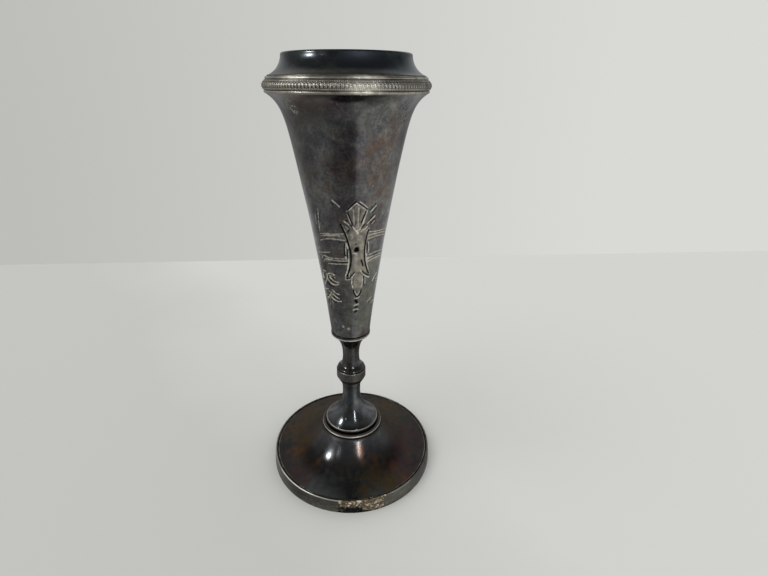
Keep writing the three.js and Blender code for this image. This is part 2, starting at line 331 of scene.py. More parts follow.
skirt = {
    "beadWidth": 0.9, "lean": 0.4, "ledgeWidth": 1.2, "ledge": 4.2,
    "crustFrom": -6, "crustTo": 24, "crustDepth": 0.2,  # degrees round the foot, mm
    # rubbed line along the bead: degrees up round it and half width; then stretches and how bright each is.
    # The stretches sit where the lamps glint: partly wear, partly painted highlight
    "crest": (55, 27), "rubbed": ((-60, -24, 1.0), (-30, -6, 0.6), (-102, -54, 0.5), (25, 48, 0.4)),
    "dark": "#52524d", "middle": "#61605a", "light": "#716f64", "grain": ((0.6, 1, 0.18), (2.0, 0.16, 0.22)),
    "roughLeast": 0.32, "roughMost": 0.48,
    "rubs": (("wear", "#f0ede4", 0.8, 1.0, 0.2, 0.35), ("grime", "#1c1b19", 0.85, 1.0, 1.0, 0.5)),
    "layers": (("soot", "#1a1b1d", 0.8, 1.0, 1.0, 0.4), ("crust", "#7c6a4c", 0.8, 1.0, 0.1, 0.9),
               ("umber", "#39301f", 0.7, 1.0, 0.1, 0.8), ("chalk", "#d2cabb", 0.5, 1.0, 0.0, 0.9)),
}


def footSkirt():
    radius, bottom, top = size("foot_skirt")
    rebate = radius - skirt["lean"] - skirt["beadWidth"]
    inner = rebate - skirt["ledgeWidth"]
    width, ledge = skirt["beadWidth"], skirt["ledge"]
    outline = join(inner + 1j * bottom, radius + 1j * bottom, roundTop(rebate + width, top, width),
                   rebate + 1j * ledge, inner + 1j * ledge)

    def crusted(r, z, turn, marks):
        # crust: flakes drawn out round the outer face and bead, inside a ragged stretch of the ring; brown
        # in the hollows, chalky on the crests, black and bare under its left half
        around = np.degrees(turn)[None, :]
        arc = np.radians(around) * radius
        ragged = 1.5 * lumps(arc, z, 2.0, 11)
        inside = smooth(-1.5, 1.5, around - skirt["crustFrom"] + ragged)
        inside = inside * smooth(-1.5, 1.5, skirt["crustTo"] - around + ragged)
        inside = inside * smooth(rebate - 0.2, rebate + 0.3, r)
        middle = (skirt["crustFrom"] + skirt["crustTo"]) / 2
        lowest = 0.6 + 2.4 * smooth(middle + 3, middle - 3, around)
        lower = smooth(lowest - 0.4, lowest + 0.4, z + 0.3 * lumps(arc, z, 1.6, 14))
        flakes = 0.75 * lumps(arc / 2.6, z, 0.42, 12) + 0.6 * lumps(arc / 1.5, z, 1.5, 13)
        patchy = lumps(arc / 2, z, 2.6, 15)
        crust = inside * lower * smooth(-1.4, -0.7, flakes)
        marks["crust"] = crust
        marks["umber"] = crust * smooth(0.5, -0.5, flakes + 0.3 * patchy)
        marks["chalk"] = crust * smooth(0.8, 1.5, flakes + 0.6 * patchy)
        marks["soot"] = inside * (1 - lower)
        # painted highlight: the bead's rubbed line is brighter in the stretches where the lamps glint
        bright = 0.1
        for start, end, share in skirt["rubbed"]:
            bright = np.maximum(bright, share * window(around, start - 6, start + 6, end - 3, end + 3))
        bead = rebate + width / 2 + 1j * (top - width / 2)
        marks["wear"] = crestLine(r, z, bead, *skirt["crest"]) * bright
        return r + skirt["crustDepth"] * crust * (0.4 + 0.6 * smooth(-0.8, 1.2, flakes))

    turn = crowded(skirt["crustFrom"] - 8, skirt["crustTo"] + 8, 460, 420)
    piece = turned("footSkirt", outline, turn, count=106, relief=crusted)
    seat(piece, "foot_skirt", tarnishedPlate("silverPlateDulledCrusted", skirt))


# Foot: spun sheet, hollow-sided, with a flat crown under the rings

footSheet = {
    "sheet": 0.9, "bore": 1.9, "spring": 5.4, "crown": 13.1, "leaving": (0.5, 0.1), "arriving": (0.32, 0.68),
    # paler and duller places: degrees round, and the radii in mm between which each one fades; the paler ones
    # are painted reflections
    "facing": (-101, -46, 52, 102), "frontSpan": (-50, -25, 14, 38), "nearReach": (24, 13.5),
    "flankReach": (30, 21), "seamReach": (14.0, 13.3), "frontReach": (21, 26),
    # stains: degrees round the foot, radius and size in mm
    "olive": ((-107, 26.2, 8.0), (-129, 27.7, 8.0), (148, 26.7, 9.0), (-77, 21.3, 5.0), (-165, 26.0, 8.0),
              (-118, 19.0, 7.0), (122, 19.0, 7.0), (-150, 19.0, 6.0), (165, 19.0, 6.0),
              (24, 25.0, 6.0), (32, 30.0, 5.0), (12, 29.5, 4.0)),
    "plum": ((-44, 29.9, 7.0), (72, 22.8, 7.0), (-127, 33.4, 4.0), (56, 27.0, 7.0), (95, 27.0, 7.0)),
    "rust": ((-66, 24.5, 3.2), (-38, 23.5, 2.6), (16, 17.3, 3.0), (30, 20.1, 2.8), (45, 25.0, 2.6),
             (46, 31.6, 2.2), (-72, 28.5, 2.2)),
    "shift": 0.4, "cloudSize": 8.0, "dark": "#33373a", "middle": "#3e3c39", "light": "#48443c",
    "stainSize": 11.0, "stainShare": 0.6, "stain": "#473a36", "bloomSize": 9.0, "bloom": "#33363d",
    "roughLeast": 0.09, "roughMost": 0.17, "grain": ((0.6, 1, 0.16), (2.2, 1, 0.1)), "fretSize": 3.0,
    # near and front are painted reflections: paler metal on the front of the foot
    "layers": (("near", "#66686b", 0.6, 1.0, 1.0, 0.21), ("front", "#585d5b", 0.6, 1.0, 1.0, 0.2),
               ("flank", "#443b2f", 0.8, 1.0, 0.9, 0.55),
               ("olive", "#5d4b31", 0.5, 1.0, 1.0, 0.42), ("plum", "#4d393c", 0.4, 1.0, 1.0, 0.16),
               ("rust", "#62412c", 0.3, 0.9, 0.9, 0.22), ("seam", "#47443f", 0.8, 1.0, 1.0, 0.5)),
}


def footSpread():
    edge, bottom, top = size("foot_spread")
    wall, bore = footSheet["sheet"], footSheet["bore"]
    crown, handles = footSheet["crown"], (footSheet["leaving"], footSheet["arriving"])
    outside = curve(edge + 1j * footSheet["spring"], crown + 1j * top, *handles)
    inside = curve(edge - wall + 1j * bottom, crown + 1j * (top - wall), *handles)
    outline = join(edge - wall + 1j * bottom, edge + 1j * bottom, outside, bore + 1j * top,
                   bore + 1j * (top - wall), inside[::-1])

    def stained(r, z, turn, marks):
        # the steep part by the rings is paler in front, a painted reflection, and duller round its sides, and
        # dull in the seam; the front of the brim is paler too, also a painted reflection; stains are soft
        # ragged spots
        x, y = r * np.sin(turn), -r * np.cos(turn)
        around = np.degrees(turn)[None, :]
        ragged = 0.25 * lumps(x, y, 3.0, 31)
        facing = window(around, *footSheet["facing"])
        front = window(around, *footSheet["frontSpan"])
        marks["near"] = smooth(*footSheet["nearReach"], r + 2 * ragged) * facing
        marks["flank"] = smooth(*footSheet["flankReach"], r + 2 * ragged) * (1 - facing)
        marks["seam"] = smooth(*footSheet["seamReach"], r)
        marks["front"] = front * smooth(*footSheet["frontReach"], r + 4 * ragged)
        for stain in ("olive", "plum", "rust"):
            marks[stain] = np.zeros(r.shape)
            for place, reach, extent in footSheet[stain]:
                away = np.hypot(x - reach * np.sin(radians(place)), y + reach * np.cos(radians(place)))
                marks[stain] = np.maximum(marks[stain], smooth(1.4, 0, away / extent + ragged))
        return r

    piece = turned("footSpread", outline, roundAbout(320), count=170, relief=stained)
    seat(piece, "foot_spread", tarnishedPlate("silverPlateBrowned", footSheet))


# Rings between the foot and the bell, rubbed bright on their crests, with painted highlights on the rubbed
# lines and painted shade in the groove

rings = {
    "inner": 9.6, "groove": 0.35, "grooveRadius": 10.9,
    "dark": "#46453f", "middle": "#57554e", "light": "#66625a",
    "rubs": (("grime", "#413a34", 0.7, 1.0, 0.4, 0.5), ("wear", "#fbf9f2", 0.8, 1.0, 0.3, 0.32)),
    "layers": (("groove", "#14120f", 0.8, 1.0, 1.0, 0.5),),
    # rubbed lines: degrees up round the bead and half width; painted shade, black round the groove: radius,
    # height, reach
    "lowerCrest": (22, 15), "upperCrest": (62, 9), "grooveShadeSpot": 11.1 + 19.05j, "grooveShadeReach": (1.0, 0.68),
    # painted highlights: the places along the rubbed lines where the lamps glint
    "glintPlaces": ((-33, 16), (8, 13)),  # degrees round, and spread
}


def bellRings():
    def crest(height, line):
        # a thin rubbed line round a bead of one height, made brighter at two places as painted highlights;
        # dull brown beside it, and black close to the groove as painted shade
        def rub(r, z, turn, marks):
            bead = r.max() - height / 2 + 1j * (z.max() - height / 2)
            # painted highlight: the rubbed line is made brighter where the lamps glint
            bright = 0.5
            for around, spread in rings["glintPlaces"]:
                bright = bright + 0.5 * hill(np.degrees(turn), around, spread)
            marks["wear"] = crestLine(r, z, bead, *line) * (r > bead.real) * bright
            marks["grime"] = 1 - marks["wear"]
            # painted shade: black close to the groove between the rings
            marks["groove"] = smooth(*rings["grooveShadeReach"], np.abs(r + 1j * z - rings["grooveShadeSpot"]))
            return r
        return rub

    material = tarnishedPlate("silverPlateRubbed", rings)
    radius, bottom, top = size("bell_ring_lower")
    lower = join(rings["inner"] + 1j * bottom, roundSide(radius, bottom, top - bottom),
                 rings["inner"] + 1j * top)
    piece = turned("bellRingLower", lower, count=110, relief=crest(top - bottom, rings["lowerCrest"]))
    seat(piece, "bell_ring_lower", material)
    radius, bottom, top = size("bell_ring_upper")
    bead = bottom + rings["groove"]
    upper = join(rings["inner"] + 1j * bottom, rings["grooveRadius"] + 1j * bottom,
                 roundSide(radius, bead, top - bead), rings["inner"] + 1j * top)
    piece = turned("bellRingUpper", upper, count=120, relief=crest(top - bead, rings["upperCrest"]))
    seat(piece, "bell_ring_upper", material)


# Bell and lower stem, one hollow turning

bell = {
    "foot": 20.3, "spigot": 9.3, "sheet": 0.9, "waist": 3.75, "waistZ": 33.5, "stemTop": 4.15,
    "stemTopZ": 39.3, "bore": 1.9, "leaving": (0.5, 0.22), "arriving": (0, 0.47),
    "shift": 0.9, "cloudSize": 5.0, "dark": "#4f5456", "middle": "#5b5f61", "light": "#676a6a",
    "stainShare": 0.2, "roughLeast": 0.1, "roughMost": 0.18, "bump": 0.05,
    # the pale sides, the pale streak and the dark stripe are painted reflections
    "layers": (("deep", "#3b3d3d", 0.85, 1.0, 1.0, 0.15), ("pale", "#868a8b", 0.5, 1.0, 1.0, 0.25),
               ("matt", "#5d5f5e", 0.7, 1.0, 0.9, 0.38), ("streak", "#8f9391", 0.6, 1.0, 0.9, 0.32),
               ("stripe", "#383a3c", 0.7, 1.0, 0.9, 0.3)),
    # degrees round and spread; then mm over the rings, or under the knop for matt, between which each fades
    "streakAt": (31, 13), "stripeAt": (-7, 15), "streakReach": (5, 10), "deepReach": (1.5, 0.3),
    "mattReach": (7, 1.5), "paleReach": (7, 4), "paleSides": ((0.8, 25, 58), (0.68, -19, -52)),
    "grain": ((0.8, 1, 0.1), (0.7, 12, 0.2)),
}


def stemBell():
    radius, bottom, top = size("stem_bell")
    waist = bell["waist"] + 1j * bell["waistZ"]
    inner = bell["spigot"] - bell["sheet"]
    outside = curve(radius + 1j * bell["foot"], waist, bell["leaving"], bell["arriving"])
    upper = curve(waist, bell["stemTop"] + 1j * bell["stemTopZ"], (0, 0.6), (0.5, 0.5))
    inside = curve(inner + 1j * bell["foot"], bell["bore"] + 1j * bell["waistZ"], bell["leaving"],
                   bell["arriving"])
    outline = join(inner + 1j * bottom, bell["spigot"] + 1j * bottom, bell["spigot"] + 1j * bell["foot"],
                   outside, upper[1:], bell["stemTop"] + 1j * top, bell["bore"] + 1j * top, inside[::-1])

    def deepened(r, z, turn, marks):
        # thicker tarnish just over the rings; the stem is dull under the knop, with a dark stripe and a pale
        # streak up its front, and the bell's sides are paler; the stripe, the streak and the paler sides are
        # painted reflections
        around, up = np.degrees(turn), z - bell["foot"]
        marks["deep"] = smooth(*bell["deepReach"], up)
        marks["matt"] = smooth(*bell["mattReach"], bell["stemTopZ"] - z)
        # painted reflections: a dark stripe and a pale glint streak up the stem's front
        for mark in ("streak", "stripe"):
            marks[mark] = 0.75 * hill(around, *bell[mark + "At"]) * smooth(*bell["streakReach"], up)
        # painted reflection: the bell's sides are paler
        marks["pale"] = stepped(around, 0, *bell["paleSides"]) * smooth(*bell["paleReach"], up)
        return r

    piece = turned("stemBell", outline, count=150, relief=deepened)
    seat(piece, "stem_bell", tarnishedPlate("silverPlateBlackened", bell))


# Knop: a girdle on a cone, with a V groove under the neck's cap

knop = {
    "socket": 4.45, "lip": 4.85, "taper": 2.3, "groove": 0.3, "bore": 1.9, "socketTop": 41.0,
    "shift": 1.4, "cloudSize": 4.0, "dark": "#52524c", "middle": "#62615a", "light": "#6f6c64",
    "roughLeast": 0.26, "roughMost": 0.4, "grain": ((0.6, 1, 0.16), (0.6, 9, 0.12)),
    "rubs": (("wear", "#a5a196", 0.3, 0.9, 0.9, 0.35), ("grime", "#141312", 0.9, 1.0, 1.0, 0.5)),
}


def knopGirdle():
    radius, bottom, top = size("knop_girdle")
    groove = knop["groove"]
    outline = join(knop["socket"] + 1j * bottom, knop["lip"] + 1j * bottom,
                   radius + 1j * (bottom + knop["taper"]), radius + 1j * (top - groove),
                   radius - groove + 1j * top, knop["bore"] + 1j * top,
                   knop["bore"] + 1j * knop["socketTop"], knop["socket"] + 1j * knop["socketTop"])

    def grooved(r, z, turn, marks):
        # the upper edge is rubbed, the ledge under the cap is black
        marks["grime"] = np.maximum(marks["grime"], smooth(top - 0.6 * groove, top - 0.1 * groove, z))
        return r

    piece = turned("knopGirdle", outline, roundAbout(160), 0.06, 110, grooved)
    seat(piece, "knop_girdle", tarnishedPlate("silverPlateDulled", knop))


neck = {
    "cap": 5.75, "groove": 0.3, "capTop": 4.5, "capTopZ": 47.0, "waist": 3.4, "waistZ": 52.0, "bore": 1.9,
    "capArriving": (0.45, 0.42), "flareLeaving": (0.5, 0.11), "topArriving": (0.46, 0.19),
    "shift": 2.1, "cloudSize": 3.5, "dark": "#434648", "middle": "#505250", "light": "#5d5d58",
    "stainShare": 0.3, "roughLeast": 0.13, "roughMost": 0.24, "bump": 0.08,
    "grain": ((0.6, 1, 0.1), (0.7, 12, 0.3)),
    "rubs": (("wear", "#8d8a80", 0.1, 0.6, 1.0, 0.35), ("grime", "#1c1b19", 0.85, 1.0, 1.0, 0.5)),
}


def stemNeck():
    radius, bottom, top = size("stem_neck")
    capTop = neck["capTop"] + 1j * neck["capTopZ"]
    waist = neck["waist"] + 1j * neck["waistZ"]
    groove = neck["groove"]
    cap = curve(neck["cap"] + 1j * (bottom + groove), capTop, (0, 0.6), neck["capArriving"])
    below = curve(capTop, waist, neck["flareLeaving"], (0, 0.6))
    above = curve(waist, radius + 1j * top, (0, 0.6), neck["topArriving"])
    outline = join(neck["bore"] + 1j * bottom, neck["cap"] - groove + 1j * bottom, cap, below[1:], above[1:],
                   neck["bore"] + 1j * top)

    def grooved(r, z, turn, marks):
        # black in the groove under the cap and close under the seat plate
        marks["grime"] = np.maximum(smooth(bottom + 0.9 * groove, bottom + 0.4 * groove, z),
                                    0.8 * smooth(top - 2.2, top - 0.4, z))
        return r

    piece = turned("stemNeck", outline, roundAbout(160), 0.06, 150, grooved)
    seat(piece, "stem_neck", tarnishedPlate("silverPlateBlackenedNeck", neck))


# Seat plate: closes the trumpet's small end, with a blind boss for the rod's thread

plate = {
    "chamfer": 0.7, "edgeWidth": 0.36, "rimTop": 63.6, "plug": 6.53, "plugTop": 65.6, "boss": 4.0,
    "bore": 1.9, "boreTop": 67.0,
    "dark": "#46453f", "middle": "#55534c", "light": "#66635b", "roughLeast": 0.28, "roughMost": 0.4,
    "rubs": (("wear", "#f1f0ea", 0.75, 1.0, 0.45, 0.4), ("grime", "#171614", 0.85, 1.0, 1.0, 0.5)),
}


def seatPlate():
    radius, bottom, top = size("seat_plate")
    chamfer = plate["chamfer"]
    outline = join(plate["bore"] + 1j * plate["boreTop"], plate["bore"] + 1j * bottom,
                   radius - chamfer + 1j * bottom, radius + 1j * (bottom + chamfer),
                   radius + 1j * plate["rimTop"], plate["plug"] + 1j * plate["rimTop"],
                   plate["plug"] + 1j * plate["plugTop"], plate["boss"] + 1j * plate["plugTop"],
                   plate["boss"] + 1j * top)
    mirror = -np.conj(outline[::-1])  # the far half, so the outline closes across the axis
    points, bend = eased(join(outline, mirror), 0.08, 400)
    keep = points.real > 0.05
    first = np.argmax(~np.roll(keep, 1) & keep)  # walk from the blind bore's end to the boss's top
    points, bend = np.roll(points, -first)[:keep.sum()], np.roll(bend, -first)[:keep.sum()]
    turn = roundAbout(160)
    spread = np.ones(len(turn))
    edge = hill(points.imag, bottom + chamfer, plate["edgeWidth"]) * (points.real > radius - 1.2 * chamfer)
    marks = {"wear": np.outer(edge, spread), "grime": np.outer(smooth(0.3, 3, -bend), spread)}
    r, z = np.outer(points.real, spread), np.outer(points.imag, spread)
    piece = cappedMesh("seatPlate", r, z, turn, marks)
    seat(piece, "seat_plate", tarnishedPlate("silverPlateRubbedPlate", plate))


# Trumpet: spun sheet with bright-cut engraving on its front

trumpet = {
    "foot": 7.73, "bow": 4.6, "flare": 3.95, "flareLength": 2.9, "sheet": 0.9,
    "centre": 14.6, "spanLeft": 90, "spanRight": 66,  # middle of the engraving and its reach, degrees
    "frontColumns": 222, "backColumns": 66, "lowRows": 22, "cutLow": 75.2, "cutHigh": 121.0, "cutRows": 260,
    "cutWidth": 0.4, "cutDepth": 0.06, "unevenness": 0.02,
    # painted shade: the body is darker just under the band
    "duskUp": (141, 148), "duskRound": (-150, -149.9, 10, 26), "duskShare": 0.65,  # darker under the band
    # tarnish of other hues: degrees round, mm up, size in mm
    "umber": ((38, 129, 7), (31, 137, 5), (47, 123, 6), (-32, 151, 6), (-18, 151, 5), (52, 138, 4)),
    "plum": ((8, 141, 2.6), (2, 136, 3.6), (4, 128, 3.4), (-12, 131, 3.5), (0, 119, 4), (-4, 150, 5)),
    "moss": ((-45, 143, 8), (-52, 131, 7), (-26, 146, 5), (24, 148, 6), (30, 76, 6), (-40, 84, 7)),
    "sage": ((40, 84, 8), (34, 93, 6), (44, 74, 6)),
    "leaf": ((-42, 90.4, 1.9), (-33, 89.6, 1.3), (-60, 89.6, 1.5), (-42, 83.6, 1.7), (-53, 80.6, 1.5)),
    "bare": ((-17, 69.2, 0.6), (-2.5, 68.4, 0.6)), "speck": ((-44, 148.2, 2.0),),
    "pits": ((53, 147.5, 2.2), (58, 145.5, 2.0), (49, 149, 1.4)),
    "shift": 3.0, "cloudSize": 5.0, "dark": "#5f6163", "middle": "#737471", "light": "#888680",
    "stainSize": 9.0, "stainShare": 0.6, "stain": "#6b5d55", "bloomSize": 10.0, "bloomShare": 0.5,
    "bloom": "#5d5d66", "roughLeast": 0.12, "roughMost": 0.22,
    "grain": ((0.8, 1, 0.18), (0.8, 6, 0.08), (2.4, 1, 0.16)), "rubs": (),
    "layers": (("bandShade", "#484a4c", 0.6, 1.0, 1.0, 0.2), ("umber", "#6e584a", 0.2, 0.8, 1.0, 0.22),
               ("plum", "#4f4047", 0.2, 0.9, 1.0, 0.2), ("moss", "#5d6057", 0.1, 0.8, 1.0, 0.2),
               ("sage", "#81816f", 0.3, 0.8, 1.0, 0.24), ("leaf", "#a3956f", 0.0, 0.8, 0.35, 0.5),
               ("panel", "#b5ac9a", 0.35, 0.9, 0.7, 0.38), ("cut", "#e8e3d6", 0.4, 1.0, 0.35, 0.45),
               ("black", "#0b0a09", 1.0, 1.0, 1.0, 0.5), ("bare", "#ded6bd", 0.7, 1.0, 0.5, 0.4),
               ("speck", "#d6d0c2", -0.9, 1.3, 0.4, 0.6),
               ("pits", "#1b1a18", -1.0, 1.0, 1.0, 0.5)),
}

# Engraving: each cut is a width, then mm across from the motif's middle and mm up the vase for each of the
# few points that a smooth line is drawn through
brightCuts = (
    # fan
    (1, 0.4, 119.8, 1.8, 118.7, 3.2, 117.3), (1, -3.3, 116.9, -2, 118.1, -0.7, 119.3),
    (1, -0.7, 119.3, 1, 118.2, 2.8, 116.8), (1, -3.9, 116.7, -3.3, 114.5, -2.3, 112.1),
    (1.3, 3.1, 116.6, 2.5, 114.5, 1.6, 112), (0.6, 0.1, 117.6, 0.1, 111), (0.6, -1.7, 117, -1.3, 111.8),
    (1.2, -1.7, 110.9, -0.4, 109.3), (1.2, 1.1, 110.7, 0.3, 109.3), (2.4, 0, 109.4, 0.1, 108.6),
    # wings
    (1, -4.8, 113, -3.3, 111.9, -1.9, 110.4), (0.8, -4.3, 111.1, -3, 109.9),
    (1, 3.4, 110.7, 2.2, 109.8, 1, 109), (0.8, 2.1, 112.4, 0.9, 110.6),
    # cartouche sides and the arcs beside them
    (0.9, -5.4, 111.6, -4.2, 108.8, -3.1, 105.8, -2.4, 103), (1.1, -3.7, 104.6, -3, 100.8, -2.9, 97.4),
    (1.1, -2.9, 97.4, -3.1, 95, -3.8, 92.2), (1, 4.2, 110.2, 3.6, 107, 3.2, 104, 3.2, 101),
    (1.4, 3.25, 101.4, 3.4, 99, 3.7, 96.8), (1.3, 3.7, 96.8, 4.3, 94.6, 5.2, 92),
    (0.9, -4, 105, -4.05, 102.5, -3.9, 100.4), (0.9, 4.05, 104.8, 4.4, 102.7, 4.3, 100.6),
    (1.9, 3.5, 100.1, 3.6, 99.3), (1.5, 4.2, 98.5, 4.3, 98.1), (1.5, 4.1, 97.2, 4.2, 96.8),
    (1.4, -3.9, 99.5, -3.7, 98.8), (1.1, -1.3, 100.8, -0.2, 100.7),
    # straps that run round to the sides
    (0.7, -14.4, 107.2, -10.4, 107.8, -4.6, 108.4), (0.7, -14.2, 106.3, -10.3, 107.3, -4.8, 107.5),
    (0.7, -14.3, 104.6, -11.6, 105.7, -4.3, 105.8), (0.8, 4.2, 108.7, 7, 108.3, 12, 107.8, 16, 107),
    (0.7, 4, 107.2, 8, 107.4, 12, 106.8, 16, 106), (0.7, 3.9, 105.9, 8, 106.3, 12, 105.6, 16, 104.6),
    (0.7, -15.8, 99.3, -12.6, 100.1, -10, 100.8), (0.7, -15.2, 98.6, -10, 98.5, -4, 98.9),
    (0.7, -12, 97.7, -8, 97.8, -3.4, 97.9), (0.8, -10.8, 96, -7, 96.4, -3.1, 96.7),
    (0.7, 4.6, 99.6, 8, 100, 13, 99), (0.7, 4.4, 98.4, 8, 98.7, 13, 97.8),
    (0.8, 4.1, 97, 8, 97.7, 13, 96.8),
    # lower tips, bud, vee and drops
    (0.9, -3.9, 92.5, -3.9, 90.6), (0.9, -2.6, 93.3, -2.5, 91.4), (1, -3.9, 90.4, -3, 90.2, -2, 90.6),
    (1.1, -1.9, 91, -1.2, 92.1, -0.5, 93.2), (1.2, 1.5, 93.8, 2.8, 92, 5.2, 90.3),
    (1, 4.3, 93.1, 5.2, 91.7), (1, -0.6, 92.6, -1.5, 90.8, -1.55, 88.8, -1.1, 86.8),
    (1, 2.3, 91.4, 2.4, 89, 2.1, 86.8), (0.7, 3.4, 90.3, 3.5, 88), (0.9, -0.5, 85.3, -0.1, 84.4, 0.4, 83.4),
    (0.9, 1.5, 85.2, 1, 84.3, 0.5, 83.4), (0.9, -0.5, 82.3, 0.6, 82.2, 1.4, 82.7),
    (1.2, -0.6, 79.1, 0.2, 79.2, 1, 79.5), (1.1, -0.8, 77, 0.2, 77.3, 1, 77.1),
    # fern leaves, reeds and stray scratches
    (0.8, -14.5, 90.6, -14.6, 89.6, -13.9, 88.7), (0.9, -11.9, 91.3, -11.7, 89.8, -12.5, 88, -13.5, 86.2),
    (1, -11.1, 91.5, -9.6, 92.1, -8.1, 91.7), (0.6, -10.7, 90.9, -9.1, 91, -7.9, 90.4),
    (1, -10.4, 90.4, -8.9, 89.4, -6.4, 88.7), (1.1, -11.4, 89.3, -10.2, 88.1, -8.5, 87.5, -6.6, 88),
    (0.8, -14.2, 83.8, -11.6, 84.8), (1, -8.8, 84.9, -7.8, 84, -6.3, 83.6),
    (1, -8.7, 83.2, -7.6, 82.3, -6.2, 81.7), (1.2, -9.8, 81.6, -8.5, 80.9, -7.1, 80.5, -5.5, 80.7),
    (1.2, -10.3, 82.4, -11.9, 80.7), (0.6, -14.3, 95.1, -12.6, 96.9, -11.9, 97.6),
    (0.7, -14.4, 97.2, -13.1, 98.5, -11.6, 98.8, -10.5, 97.6), (0.4, -5.6, 86.3, -4.4, 85.9, -3.1, 85.5),
    (0.4, -5.3, 85.3, -2.9, 84.5), (0.4, -4.2, 84.3, -2.9, 83.7), (0.4, -4.2, 81.5, -2.6, 81.2),
    (0.4, -5.3, 88.7, -3.7, 88.3), (0.9, -14, 91.2, -14.3, 89.7, -13.4, 89.3),
    (0.8, -11.1, 91.7, -9.7, 91.7, -8.3, 91.4), (0.6, -10.4, 90.9, -9.3, 90.8, -7.9, 90.7),
    (0.6, -10.4, 90.2, -9.1, 89.5, -7.6, 89), (0.8, -14.3, 92.1, -12.6, 92.2),
    (0.7, -10.9, 83.9, -10, 83.6, -9.1, 83.5), (0.7, -9.5, 85.1, -8.6, 84.6), (0.7, -10, 83, -8.9, 82.9),
    (0.7, -9.7, 79.9, -9, 79.1), (0.6, -10.9, 78.8, -10.7, 77.5), (1.2, 7.2, 88, 8.2, 89.3, 9.9, 90.5),
    (0.8, 9.8, 87.1, 10.9, 86.5), (1, 5.1, 79.5, 6.1, 80.3, 7.4, 80.8), (0.8, 7.9, 79.3, 8.8, 78.6),
    (0.9, -9, 120.3, -7.9, 119.4, -6.4, 118.1), (0.6, -16.3, 114.7, -16.3, 112.6, -16, 110.6),
    (0.7, -14.7, 116.7, -14.6, 113, -14.5, 109), (0.6, -13.9, 111.5, -14.4, 108.2),
    (0.8, 9.3, 87.8, 12.2, 88.8), (0.7, 6.7, 78.2, 9.8, 78.2), (1, 4.4, 115.8, 5.5, 116.9, 6.6, 117.8),
    (0.6, 5, 117.9, 6.7, 119.4), (1.2, 4.7, 112.9, 5.5, 113.5, 6.3, 114.2),
    (0.9, 3.4, 111.7, 4.1, 112.5, 4.8, 113.1), (0.7, 5.2, 111.5, 6.2, 112.3),
)
